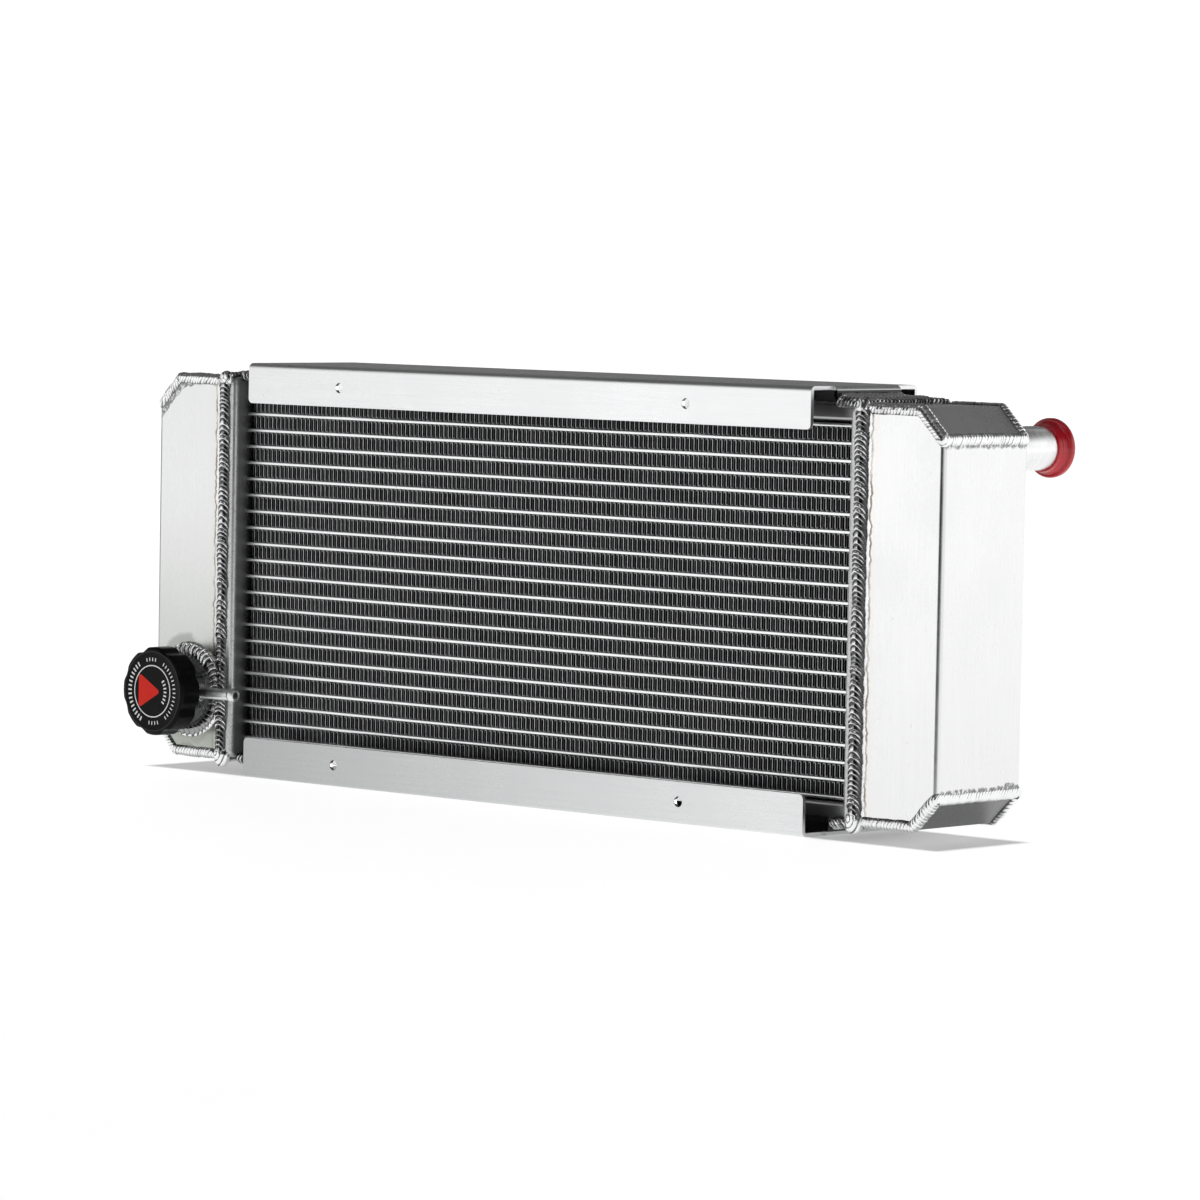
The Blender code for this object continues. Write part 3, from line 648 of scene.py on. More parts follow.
def tube_metal():
    k = Looks("tube_metal")
    streak = k.noise((14, 500, 2500), 4, 0.6)
    flux = k.noise(330, 4, 0.65)
    colour = k.mix(k.ramp(streak, 0.25, 0.75), (0.90, 0.915, 0.91), (0.985, 0.998, 0.995))
    colour = k.mix(k.ramp(flux, 0.66, 0.80, 0.0, 0.7), colour, grey(0.35))
    return k.set(Base_Color=colour, Metallic=1.0, Roughness=k.ramp(flux, 0.2, 0.8, 0.26, 0.44),
                 Normal=k.bump(flux, 0.00006, 0.5))


def turned_metal(name, centre, axis, tone, rough, ring=2600.0, groove=0.00003, contrast=0.18):
    """Metal off a lathe: fine rings about an axis."""
    k = Looks(name)
    lines = k.lathe_lines(*k.spoke(centre, axis), ring, ring)
    smear = k.noise(160, 3, 0.6)
    colour = k.mix(k.ramp(lines, 0.3, 0.7), dim(tone, 1 - contrast), tone)
    colour = k.mix(k.ramp(smear, 0.5, 0.75, 0.0, contrast * 2), colour, dim(tone, 0.55))
    roughness = k.ramp(k.plus(lines, smear), 0.6, 1.4, rough - 0.07, rough + 0.08)
    return k.set(Base_Color=colour, Metallic=1.0, Roughness=roughness, Normal=k.bump(lines, groove, 0.6))


def cap_black():
    """Satin black anodising with a faint lathe grain and a painted highlight ring round the face's edge."""
    k = Looks("cap_black")
    radius, height = k.spoke((NECK_X, 0, NECK_Z), 1)
    lines = k.lathe_lines(radius, height, 5200, 2600)
    dust = k.noise(1500, 3, 0.6)
    wear = k.noise(120, 3, 0.6)
    colour = k.mix(k.ramp(dust, 0.3, 0.75), (0.0030, 0.0031, 0.0034), (0.0075, 0.0077, 0.0082))
    colour = k.mix(k.ramp(wear, 0.55, 0.8, 0.0, 0.5), colour, (0.012, 0.0122, 0.013))
    # painted highlight: a thin grey ring at the edge of the face
    inner = k.ramp(radius, CAP_RADIUS - 0.0033, CAP_RADIUS - 0.0029)
    outer = k.ramp(radius, CAP_RADIUS - 0.0023, CAP_RADIUS - 0.0027)
    colour = k.mix(k.times(inner, outer, 0.8), colour, (0.05, 0.051, 0.053))
    return k.set(Base_Color=colour, Metallic=0.0, Roughness=k.ramp(k.plus(lines, dust), 0.6, 1.4, 0.24, 0.36),
                 Normal=k.bump(lines, 0.00002, 0.5), Specular_IOR_Level=0.07)


def ink(name, tone):
    """Printed ink with a slight grain."""
    k = Looks(name)
    grain = k.noise(2600, 3, 0.6)
    worn = k.noise(500, 3, 0.6)
    colour = k.mix(k.ramp(grain, 0.3, 0.7), dim(tone, 0.82), tone)
    colour = k.mix(k.ramp(worn, 0.62, 0.8, 0.0, 0.4), colour, dim(tone, 0.4))
    return k.set(Base_Color=colour, Roughness=k.ramp(grain, 0.2, 0.8, 0.42, 0.6),
                 Normal=k.bump(grain, 0.00002, 0.4), Specular_IOR_Level=0.15)


def red_plastic():
    k = Looks("red_plastic_gloss")
    swirl = k.noise((60, 160, 60), 3, 0.55)
    grain = k.noise(1400, 2, 0.5)
    colour = k.mix(k.ramp(swirl, 0.3, 0.7), (0.47, 0.0, 0.008), (0.55, 0.0, 0.014))
    colour = k.mix(k.ramp(grain, 0.6, 0.8, 0.0, 0.15), colour, (0.62, 0.01, 0.03))
    return k.set(Base_Color=colour, Roughness=k.ramp(swirl, 0.2, 0.8, 0.2, 0.3),
                 Normal=k.bump(grain, 0.00003, 0.25), Coat_Weight=0.35, Coat_Roughness=0.12)


def neck_shade(k, colour):
    """Painted shade: the lower half of the filler's weld is darker."""
    z = k.plus(k.axes()[2], k.ramp(k.noise(90, 2, 0.5), 0.3, 0.7, -0.003, 0.003))
    return k.mix(k.ramp(z, NECK_Z + 0.004, NECK_Z - 0.004, 0.0, 0.72), colour, (0.10, 0.102, 0.10))


def channel_shade(k, colour):
    """Painted shade inside the channels; the bottom one is also painted darker, most of all at its left end,
    as a painted reflection of darker floor.
    """
    x, y, z = k.axes()
    skin = (SHEET * 0.97, SHEET * 0.99)
    depth = k.ramp(k.minus(CHANNEL_DEPTH, k.size(y)), *skin)
    height = k.ramp(k.least(z, k.minus(HIGH.z, z)), *skin)
    # painted shade on the channels' inner faces
    colour = k.mix(k.times(depth, height), colour, (0.06, 0.061, 0.063))
    # painted shade: the bottom channel darkens towards its left end
    dull = k.times(k.ramp(z, 0.05, 0.03), k.ramp(x, -0.26, 0.20, 0.62, 0.12, smooth=False))
    return k.mix(dull, colour, (0.16, 0.17, 0.17))


TUBE_METAL = tube_metal()
FIN_FOIL = fin_foil()
WELD = weld_metal("weld_bead")
DULL_WELD = weld_metal("weld_bead_dull", 0.16, (0.60, 0.605, 0.61))
RIPPLE_WELD = weld_metal("weld_bead_ripple", 0.10, (0.94, 0.945, 0.95), crest=(0.40, 0.80))
NECK_WELD = weld_metal("weld_bead_neck", 0.12, (0.94, 0.945, 0.95), soot_size=300, crest=(0.30, 0.70),
                       shade=neck_shade)
SIDE_METAL = sheet_metal("side_plate_metal", (14, 700, 1400), (0.48, 0.482, 0.486), 0.36)
TANK_METAL = sheet_metal("tank_metal", (900, 900, 26), (0.845, 0.847, 0.85), 0.27, marks=tank_marks,
                         contrast=0.035)
CHANNEL_METAL = sheet_metal("channel_metal", (16, 800, 800), (0.84, 0.845, 0.85), 0.28, shade=channel_shade,
                            contrast=0.05)
HEADER_METAL = sheet_metal("header_metal", (300, 300, 26), (0.60, 0.605, 0.61), 0.34, marks=header_marks)
# painted shade: the machined neck gets a dark tone for the shade under the cap and its dark reflections
SHADED_NECK_METAL = turned_metal("neck_metal", (NECK_X, 0, NECK_Z), 1, (0.24, 0.243, 0.248), 0.22)
NIPPLE_METAL = turned_metal("nipple_metal", (0, TANK_FRONT - NIPPLE_HEIGHT, NECK_Z), 0, (0.86, 0.865, 0.87),
                            0.34, 900.0, 0.00001, 0.08)
RED = red_plastic()
CAP_BLACK = cap_black()
WHITE_INK = ink("white_ink", grey(0.93))
RED_INK = ink("red_ink", (0.80, 0.022, 0.010))
STEEL = turned_metal("steel", (NECK_X, 0, NECK_Z), 1, (0.56, 0.565, 0.58), 0.26)
BRASS = turned_metal("brass", (NECK_X, 0, NECK_Z), 1, (0.72, 0.54, 0.24), 0.30)

# ---------------------------------------------------------------- core


def stadium(half_width, half_height, steps):
    straight = half_width - half_height
    ends = arc((straight, 0), half_height, -90, 90, steps)
    return ends + arc((-straight, 0), half_height, 90, 270, steps)


def flat_nosed(half_width, half_height, steps):
    """A flat tube's outline, with noses that are blunter than half circles."""
    points = []
    for x, y in stadium(half_width, half_height, steps):
        straight = half_width - half_height
        if abs(x) > straight:
            along_x, along_y = (abs(x) - straight) / half_height, y / half_height
            angle = math.atan2(along_y, along_x)
            size = (abs(math.cos(angle)) ** 3.2 + abs(math.sin(angle)) ** 3.2) ** (-1 / 3.2)
            x = math.copysign(straight + half_height * size * math.cos(angle), x)
            y = half_height * size * math.sin(angle)
        points.append((x, y))
    return points


def add_tubes():
    """Flat tubes that share one mesh."""
    half = (TUBE_BOX[1].z - TUBE_BOX[0].z) / 2
    outline = flat_nosed(TUBE_BOX[1].y, half, 20)
    mesh = mesh_from("tube_shape", prism([outline], TUBE_BOX[0].x, TUBE_BOX[1].x, ALONG_X))
    dress(mesh, TUBE_METAL, 40)
    for node in TUBES:
        low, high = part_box(node)
        add_piece(node.replace("core_", "flat_"), mesh, slot="bright_tube", replaces=[node],
                  place=(0, 0, (low.z + high.z) / 2))


def fin_line(reach, top, seed):
    """A serpentine's middle line, the direction of its surface and the painted highlight at each point."""
    legs = 4 * round(reach / WAVE)
    pitch = 2 * reach / legs
    radius = pitch / 2
    random = np.random.default_rng(seed)
    steps = pitch * np.arange(legs)
    places = -reach + radius + steps + np.clip(random.normal(0, 0.00005, legs), -0.0001, 0.0001)
    places += 0.00025 * wander(steps, 0.03, seed + 50)
    bend_parts = 6
    points, painted_highlight = [], []
    for i, x in enumerate(places):
        up = i % 2 == 0
        sign = 1 if up else -1
        end = sign * (top - radius)
        # painted highlight: one leg in two is painted bright and the other dark, with the bends shading
        # between
        leg = random.uniform(0.02, 0.16) if up else random.uniform(0.80, 1.0)
        points += [(x, -end), (x, end)]
        painted_highlight += [leg, leg]
        if i + 1 == legs:
            break
        half = (places[i + 1] - x) / 2
        for part in range(1, bend_parts):
            angle = math.pi - math.pi * part / bend_parts
            points.append((x + half + half * math.cos(angle), end + sign * radius * math.sin(angle)))
            painted_highlight.append(0.35 + 0.10 * part if up else 0.85 - 0.10 * part)
    points = np.array(points)
    step = np.gradient(points, axis=0)
    step /= np.linalg.norm(step, axis=1)[:, None]
    return points, np.stack([-step[:, 1], step[:, 0]], -1), np.array(painted_highlight)


def fin_mesh(number, depth, top):
    """A waved foil as deep as the core."""
    line, side, painted_highlight = fin_line(PLATE - FIN_SPACE, top, 300 + number)
    loop = np.vstack([line + side * FOIL / 2, (line - side * FOIL / 2)[::-1]])
    n = len(loop)
    verts = [(x, y, z) for y in (-depth, depth) for x, z in loop]
    faces = [(i, (i + 1) % n, n + (i + 1) % n, n + i) for i in range(n)]
    for i in range(len(line) - 1):
        j = n - 1 - i
        faces += [(i, j, j - 1, i + 1), (n + i, n + i + 1, n + j - 1, n + j)]
    mesh = bpy.data.meshes.new(f"fin_shape_{number + 1:02d}")
    mesh.from_pydata(verts, [], faces)
    values = np.tile(np.r_[painted_highlight, painted_highlight[::-1]], 2).astype(np.float32)
    mesh.attributes.new("painted_highlight", "FLOAT", "POINT").data.foreach_set("value", values)
    return mesh


def add_fins():
    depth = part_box(FINS[0])[1].y
    for number, node in enumerate(FINS):
        low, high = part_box(node)
        mesh = fin_mesh(number, depth, (high.z - low.z) / 2 - FOIL / 2 + 0.0002)
        add_mesh(node.replace("fin_row", "fin_wave"), mesh, FIN_FOIL, sharp=40, slot="dark_fin",
                 replaces=[node], place=(0, 0, (low.z + high.z) / 2))


# ---------------------------------------------------------------- folded sheets


def bent_sheet(section, low, high):
    """A sheet of even thickness along X; section holds pairs of outer and inner points."""
    bm = bmesh.new()
    rows = []
    for x in (low, high):
        rows.append([[bm.verts.new((x, *point)) for point in pair] for pair in section])
    for row in rows:
        for a, b in zip(row, row[1:]):
            bm.faces.new((a[0], a[1], b[1], b[0]))
    near, far = rows
    for i in range(len(section) - 1):
        for side in (0, 1):
            bm.faces.new((near[i][side], near[i + 1][side], far[i + 1][side], far[i][side]))
    for i in (0, -1):
        bm.faces.new((near[i][0], near[i][1], far[i][1], far[i][0]))
    bmesh.ops.recalc_face_normals(bm, faces=bm.faces)
    return bm


def channel_section(half_depth, height, sheet, inside_bend, splits, steps):
    bend = inside_bend + sheet
    corner = (half_depth - bend, -bend)
    outer = arc(corner, bend, 0, 90, steps)
    inner = arc(corner, inside_bend, 0, 90, steps)
    half = [((half_depth, -height), (half_depth - sheet, -height))]
    half += list(zip(outer, inner))
    half += [((y, 0), (y, -sheet)) for y in splits]
    mirrored = [tuple((-y, z) for y, z in pair) for pair in half]
    return mirrored + half[::-1]


def add_side_plates():
    thickness = 0.0012
    for node, up in (("side_plate_top", -1), ("side_plate_bottom", 1)):
        low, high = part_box(node)
        section = channel_section(high.y, high.z - low.z, thickness, thickness, (), 8)
        section = [tuple((y, up * z) for y, z in pair) for pair in section]
        bm = bent_sheet(section, low.x, high.x)
        bmesh.ops.translate(bm, verts=bm.verts, vec=(0, 0, low.z if up < 0 else high.z))
        made = add_bm(node + "_skin", bm, SIDE_METAL, slot="brushed_sheet", replaces=[node])
        soften(made, 0.00025, 2)


def fold_tongue(bm, side, steps=7):
    """Folds a channel's end down and out again, into the tongue that lies on the header's rim."""
    bend = CHANNEL_BEND + SHEET
    down = Vector((side * CHANNEL_REACH, 0, -bend))
    out = Vector((side * (CHANNEL_REACH + bend + CHANNEL_BEND), 0, CHANNEL_BEND - TONGUE_DROP))
    step = math.radians(90 / steps)
    ends = [f for f in bm.faces if all(abs(v.co.y) < TONGUE_HALF + 0.0003 for v in f.verts)]
    face = max(ends, key=lambda f: side * f.normal.x * (f.calc_center_median().x * side > 0))

    def push(move):
        nonlocal face
        made = bmesh.ops.extrude_discrete_faces(bm, faces=[face])
        face = made["faces"][0]
        move(list(face.verts))

    def turn(centre, angle):
        spin = Matrix.Rotation(angle, 3, "Y")
        push(lambda verts: bmesh.ops.rotate(bm, cent=centre, matrix=spin, verts=verts))

    def slide(x, z):
        push(lambda verts: bmesh.ops.translate(bm, verts=verts, vec=(x, 0, z)))

    for _ in range(steps):
        turn(down, side * step)
    slide(0, out.z - down.z)
    for _ in range(steps):
        turn(out, -side * step)
    slide(side * TONGUE_END - out.x, 0)


def round_flange_ends(bm):
    """Rounds the four free corners of a channel's flanges."""
    corners = []
    for edge in bm.edges:
        a, b = (v.co for v in edge.verts)
        through_sheet = abs(a.y - b.y) > SHEET / 2 and abs(a.x - b.x) < 1e-6 and abs(a.z - b.z) < 1e-6
        if through_sheet and abs(a.z + CHANNEL_HEIGHT) < 1e-6:
            corners.append(edge)
    bmesh.ops.bevel(bm, geom=corners, offset=CHANNEL_CORNER, segments=6, profile=0.5, affect="EDGES")


def add_channels():
    for node, top in (("channel_top", True), ("channel_bottom", False)):
        low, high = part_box(node)
        section = channel_section(CHANNEL_DEPTH, CHANNEL_HEIGHT, SHEET, CHANNEL_BEND, (TONGUE_HALF,), 8)
        bm = bent_sheet(section, -CHANNEL_REACH, CHANNEL_REACH)
        bm.normal_update()
        for side in (-1, 1):
            fold_tongue(bm, side)
        round_flange_ends(bm)
        if not top:
            bmesh.ops.scale(bm, vec=(1, 1, -1), verts=bm.verts)
        bmesh.ops.translate(bm, verts=bm.verts, vec=(0, 0, high.z if top else low.z))
        made = add_bm(node + "_skin", bm, CHANNEL_METAL, slot="brushed_sheet", replaces=[node])
        hole_z = high.z - HOLE_FROM_WEB if top else low.z + HOLE_FROM_WEB
        places = [(x, 0, hole_z) for x in CHANNEL_HOLES]
        carve(made, [rod(f"drill_{i}", place, HOLE_RADIUS, 0.06) for i, place in enumerate(places)])
        soften(made, 0.00035, 2)
        keep_inside(made, node)


# ---------------------------------------------------------------- headers and tanks


def rounded_rectangle(half_x, half_y, radius, steps):
    corners = ((half_x, half_y, 0), (-half_x, half_y, 90), (-half_x, -half_y, 180), (half_x, -half_y, 270))
    points = []
    for x, y, start in corners:
        centre = (x - math.copysign(radius, x), y - math.copysign(radius, y))
        points += arc(centre, radius, start, start + 90, steps)
    return points


def header_shell(side):
    """A plate that faces the core, with a bent flange all round towards the tank."""
    flange = HEADER_RIM - PLATE
    bm = bmesh.new()
    outline = rounded_rectangle(HEADER_DEPTH, HALF_HEIGHT, HEADER_CORNER, 8)
    extrude(bm, [bm.faces.new([bm.verts.new((0, y, z)) for y, z in outline])], (flange, 0, 0))
    bmesh.ops.recalc_face_normals(bm, faces=bm.faces)
    edges = [e for e in bm.edges if all(abs(v.co.x) < 1e-6 for v in e.verts)]
    bmesh.ops.bevel(bm, geom=edges, offset=HEADER_BEND, segments=7, profile=0.5, affect="EDGES")
    open_face = max(bm.faces, key=lambda f: f.calc_center_median().x)
    bmesh.ops.inset_region(bm, faces=[open_face], thickness=SHEET, use_even_offset=True)
    bmesh.ops.translate(bm, verts=list(open_face.verts), vec=(SHEET - flange, 0, 0))
    bmesh.ops.scale(bm, vec=(side, 1, 1), verts=bm.verts)
    bmesh.ops.translate(bm, verts=bm.verts, vec=(side * PLATE, 0, MIDDLE))
    return bm


def braze_fillets(side):
    """A small fillet round every tube where it enters the plate."""
    half = (TUBE_BOX[1].z - TUBE_BOX[0].z) / 2
    bm = bmesh.new()
    for tube in TUBES:
        low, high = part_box(tube)
        level = (low.z + high.z) / 2
        rows = []
        for out, lift in ((0.0006, 0.0), (0.0003, 0.0002), (0.0001, 0.0004), (0.0, 0.0007)):
            loop = stadium(TUBE_BOX[1].y + out, half + out, 8)
            rows.append([bm.verts.new((side * (PLATE - lift), y, level + z)) for y, z in loop])
        for a, b in zip(rows, rows[1:]):
            for i in range(len(a)):
                bm.faces.new((a[i - 1], a[i], b[i], b[i - 1]))
    return bm


def add_headers():
    for node, side in (("header_left", -1), ("header_right", 1)):
        add_bm(node + "_skin", header_shell(side), HEADER_METAL, slot="brushed_sheet", replaces=[node])
        add_bm(node + "_braze", braze_fillets(side), HEADER_METAL, slot="brushed_sheet")


def tank_outline(outer, half_height, chamfer, inner_edge):
    return [
        (inner_edge, -half_height),
        (outer - chamfer, -half_height),
        (outer, chamfer - half_height),
        (outer, half_height - chamfer),
        (outer - chamfer, half_height),
        (inner_edge, half_height),
    ]


def tank_block(side, outline, outer, half_depth, bend, weld_bevel=0.0):
    """A solid tank with rounded upright bends; weld_bevel breaks the end caps' edges."""
    bm = prism([outline], -half_depth, half_depth, ALONG_Y)
    bmesh.ops.dissolve_limit(bm, angle_limit=0.01, verts=bm.verts, edges=bm.edges)
    upright = []
    for edge in bm.edges:
        a, b = (v.co for v in edge.verts)
        if abs(a.x - outer) < 1e-6 and abs(b.x - outer) < 1e-6 and abs(a.y - b.y) < 1e-6:
            upright.append(edge)
    bmesh.ops.bevel(bm, geom=upright, offset=bend, segments=8, profile=0.5, affect="EDGES")
    bmesh.ops.recalc_face_normals(bm, faces=bm.faces)
    if weld_bevel:
        bm.normal_update()
        welded = []
        for edge in bm.edges:
            first, second = edge.link_faces
            mouth = min(first.normal.x, second.normal.x) < -0.9
            if (abs(first.normal.z) > 0.5) != (abs(second.normal.z) > 0.5) and not mouth:
                welded.append(edge)
        bmesh.ops.bevel(bm, geom=welded, offset=weld_bevel, segments=1, affect="EDGES")
    bmesh.ops.scale(bm, vec=(side, 1, 1), verts=bm.verts)
    bmesh.ops.translate(bm, verts=bm.verts, vec=(0, 0, MIDDLE))
    return bm


def add_tanks():
    """Hollow boxes with sloped end panels, open towards the header."""
    mitre = SHEET * math.tan(math.radians(22.5))
    inner_face, inner_depth = TANK_FACE - SHEET, TANK_HALF_DEPTH - SHEET
    inner_chamfer = TANK_CHAMFER + mitre - SHEET
    for node, side in (("tank_left", -1), ("tank_right", 1)):
        outline = tank_outline(TANK_FACE, HALF_HEIGHT, TANK_CHAMFER, TANK_IN)
        hollow = tank_outline(inner_face, HALF_HEIGHT - SHEET, inner_chamfer, TANK_IN - SHEET)
        block = tank_block(side, outline, TANK_FACE, TANK_HALF_DEPTH, TANK_BEND, 0.0018)
        made = add_bm(node + "_skin", block, TANK_METAL, slot="brushed_sheet", replaces=[node])
        cutters = [helper("hollow", tank_block(side, hollow, inner_face, inner_depth, 0.0008)),
                   rod("pipe_hole", (side * PIPE_X, TANK_HALF_DEPTH, MIDDLE + side * PIPE_HEIGHT),
                       PIPE_RADIUS + 0.0003, 0.01)]
        if side < 0:
            cutters.append(rod("neck_hole", (NECK_X, TANK_FRONT, NECK_Z), NECK_THROAT + 0.0018, 0.01))
        carve(made, cutters)
        flatten(made)


# ---------------------------------------------------------------- welds


def stay_inside(points):
    """Flattens what would pass the tanks' outer faces, without a sharp edge."""
    x = points[..., 0]
    reach, soft = HIGH.x - 0.00003, 0.0009
    over = np.abs(x) - (reach - soft)
    points[..., 0] = np.where(over > 0, np.sign(x) * (reach - soft + soft * np.tanh(over / soft)), x)


def resample(points, spacing, closed):
    """Even steps along a line; columns after the first three are carried along."""
    points = np.asarray(points, float)
    if closed:
        points = np.vstack([points, points[:1]])
    lengths = np.r_[0, np.cumsum(np.linalg.norm(np.diff(points[:, :3], axis=0), axis=1))]
    count = max(8, round(lengths[-1] / spacing))
    wanted = np.linspace(0, lengths[-1], count, endpoint=not closed)
    return np.stack([np.interp(wanted, lengths, points[:, i]) for i in range(points.shape[1])], -1), wanted


def smooth_line(values, width, closed):
    """Running mean, so that a corner's normals turn gradually."""
    pad = int(width)
    if pad < 1:
        return values
    if closed:
        padded = np.vstack([values[-pad:], values, values[:pad]])
    else:
        padded = np.vstack([np.repeat(values[:1], pad, 0), values, np.repeat(values[-1:], pad, 0)])
    kernel = np.ones(2 * pad + 1) / (2 * pad + 1)
    return np.stack([np.convolve(padded[:, i], kernel, "valid") for i in range(values.shape[1])], -1)


CREST = 0.82  # the share of each crescent that falls away behind its crest


def unit(vectors):
    return vectors / np.linalg.norm(vectors, axis=1)[:, None]


def crescents(s, u, pitch, seed, bow, lean, closed):
    """How high each point of a bead stands in its crescent, and the height of that crescent."""
    total = s[-1] + (s[1] - s[0])
    hurry = 0.55 * pitch * wander(s, 4 * pitch, seed)
    if closed:
        hurry = hurry * np.clip(np.minimum(s, total - s) / (3 * pitch), 0, 1)
        pitch = total / round(total / pitch)
    tilt = lean + 0.25 * wander(s, 6 * pitch, seed + 1)
    phase = (s + hurry)[:, None] / pitch + bow * u[None, :] ** 2 + tilt[:, None] * u[None, :]
    phase = phase + 0.06 * wander(s, 0.6 * pitch, seed + 2)[:, None] * np.cos(3 * u)[None, :]
    number = np.floor(phase).astype(int)
    part = phase - number
    random = np.random.default_rng(seed + 3)
    height = random.uniform(0.45, 1.4, number.max() - number.min() + 2)[number - number.min()]
    step = np.where(part < CREST, np.clip(1 - part / CREST, 0, 1) ** 0.8, (part - CREST) / (1 - CREST))
    return step, height, pitch


def add_bead(name, points, normals, radius, half_angle, sink, pitch, seed, ripple=0.0004, bow=0.7, lean=0.0,
             closed=False, material=None, turn_width=0.0, sway=0.0003, across=23, spacing=0.00028):
    """A weld bead along a line: a round back over the joint, stepped into overlapping crescents."""
    both = np.hstack([np.asarray(points, float), np.asarray(normals, float)])
    both, s = resample(both, spacing, closed)
    middle, normal = both[:, :3], both[:, 3:]
    if turn_width:
        steps = turn_width / spacing / 2
        middle = smooth_line(middle, steps, closed)
        normal = smooth_line(normal, steps, closed)
    normal = unit(normal)
    if closed:
        tangent = unit(np.roll(middle, -1, 0) - np.roll(middle, 1, 0))
    else:
        tangent = unit(np.gradient(middle, axis=0))
    side = unit(np.cross(tangent, normal))
    half = math.radians(half_angle)
    theta = np.linspace(-half, half, across)
    u = theta / half
    step, height, pitch = crescents(s, u, pitch, seed, bow, lean, closed)
    edge = 1 - np.abs(u) ** 5
    lift = ripple * height * step * edge[None, :]
    swell = 1 + 0.035 * wander(s, 2.2 * pitch, seed + 4)
    grow = np.ones_like(s)
    if not closed:
        half_width = 0.9 * radius * math.sin(half) if half < 1.5 else radius
        end = np.clip(np.minimum(s, s[-1] - s) / half_width, 0, 1)
        grow = np.sqrt(np.clip(1 - (1 - end) ** 2, 0.0004, 1))
    drift = sway * wander(s, 5 * pitch, seed + 5)
    size = (radius * swell)[:, None] + lift
    base = size * np.cos(theta)[None, :] - sink
    out = base * grow[:, None] + (grow[:, None] - 1) * 0.0003
    off = size * np.sin(theta)[None, :] * grow[:, None] + drift[:, None]
    shape = middle[:, None, :] + normal[:, None, :] * out[..., None] + side[:, None, :] * off[..., None]
    stay_inside(shape)
    # the relief drives the weld's colour: painted highlight on the crests and along the crown
    relief = np.clip(step * height, 0, 1) * edge[None, :] * 0.75 + 0.25 * (1 - np.abs(u[None, :]))
    made = add_grid(name, shape, material or WELD, closed_u=closed, relief=relief, sharp=0, flip=True)


def add_blob(name, centre, radii, seed, material=None, pitch=0.0026):
    """A rippled ball of weld where two beads meet."""
    u = np.linspace(0.02, math.pi - 0.02, 44)
    v = np.linspace(0, math.tau, 72, endpoint=False)
    a, b = np.meshgrid(u, v, indexing="ij")
    x, y, z = np.sin(a) * np.cos(b), np.sin(a) * np.sin(b), np.cos(a)
    ring = np.sqrt((x + 0.35) ** 2 + (z - 0.30) ** 2) * max(radii) / pitch
    part = ring - np.floor(ring)
    step = np.where(part < 0.8, 1 - part / 0.8, (part - 0.8) / 0.2)
    size = 1 + 0.045 * step + 0.05 * np.sin(3 * b + seed) * np.sin(a) + 0.03 * np.sin(5 * a + seed)
    points = np.stack([x * size, y * size, z * size], -1) * radii + centre
    stay_inside(points)
    # the ripples' steps drive the weld's painted highlight and shade
    made = add_grid(name, points, material or WELD, closed_v=True, relief=step, sharp=0)


def densify(points, normals, spacing, closed):
    """More points along a line of few, with normals that turn evenly between them."""
    rows = np.hstack([np.array(points, float), np.array(normals, float)])
    dense = []
    for i in range(len(rows) if closed else len(rows) - 1):
        a, b = rows[i], rows[(i + 1) % len(rows)]
        parts = max(1, int(np.linalg.norm((b - a)[:3]) / spacing))
        dense += [a + (b - a) * (k / parts) for k in range(parts)]
    if not closed:
        dense.append(rows[-1])
    dense = np.array(dense)
    return dense[:, :3], dense[:, 3:]


def header_seam(side):
    """The joint of header and tank goes all round; normals point out."""
    x = side * ((TANK_IN + HEADER_RIM) / 2 + 0.0003)
    corner = 0.0035
    points, normals = [], []
    for y, z in rounded_rectangle(TANK_HALF_DEPTH + 0.0002, HALF_HEIGHT, corner, 8):
        corner_y = math.copysign(TANK_HALF_DEPTH - corner, y)
        corner_z = math.copysign(HALF_HEIGHT - corner, z)
        points.append((x, y, MIDDLE + z))
        normals.append(tuple(Vector((0, y - corner_y, z - corner_z)).normalized()))
    points, normals = densify(points, normals, 0.002, True)
    return points[::-1], normals[::-1]


def cap_seam(side, top):
    """The end cap's joint: along the front, down the slope, across the side and back again."""
    s = 1 if top else -1
    depth = TANK_HALF_DEPTH
    knee = TANK_FACE - TANK_CHAMFER
    low = HALF_HEIGHT - TANK_CHAMFER
    root = math.sqrt(0.5)
    tilt = math.radians(22.5)
    along_front = (0, -root, root)
    along_slope = tuple(Vector((root, -1, root)).normalized())
    front = [
        ((TANK_IN + 0.0042, -depth, HALF_HEIGHT), along_front),
        ((knee, -depth, HALF_HEIGHT), along_front),
        ((knee, -depth, HALF_HEIGHT), along_slope),
        ((TANK_FACE, -depth, low), along_slope),
        ((TANK_FACE, -depth + 0.003, low), (math.cos(tilt), 0, math.sin(tilt))),
    ]
    back = [((x, -y, z), (nx, -ny, nz)) for (x, y, z), (nx, ny, nz) in reversed(front)]
    points = [(side * x, y, MIDDLE + s * z) for (x, y, z), _ in front + back]
    normals = [(side * nx, ny, s * nz) for _, (nx, ny, nz) in front + back]
    points, normals = densify(points, normals, 0.001, False)
    if (side > 0) != top:
        return points[::-1], normals[::-1]
    return points, normals


def ring_line(centre, axis, radius, out, steps=120):
    """A circle about an axis with normals leaning away from it by out, as a share of the radius direction."""
    place = along(axis, centre)
    points, normals = [], []
    for i in range(steps):
        angle = math.tau * i / steps
        spoke = Vector((math.cos(angle), math.sin(angle), 0))
        points.append(tuple(place @ (spoke * radius)))
        normal = (spoke * out + Vector((0, 0, 1)) * (1 - out)).normalized()
        normals.append(tuple(place.to_3x3() @ normal))
    return points, normals


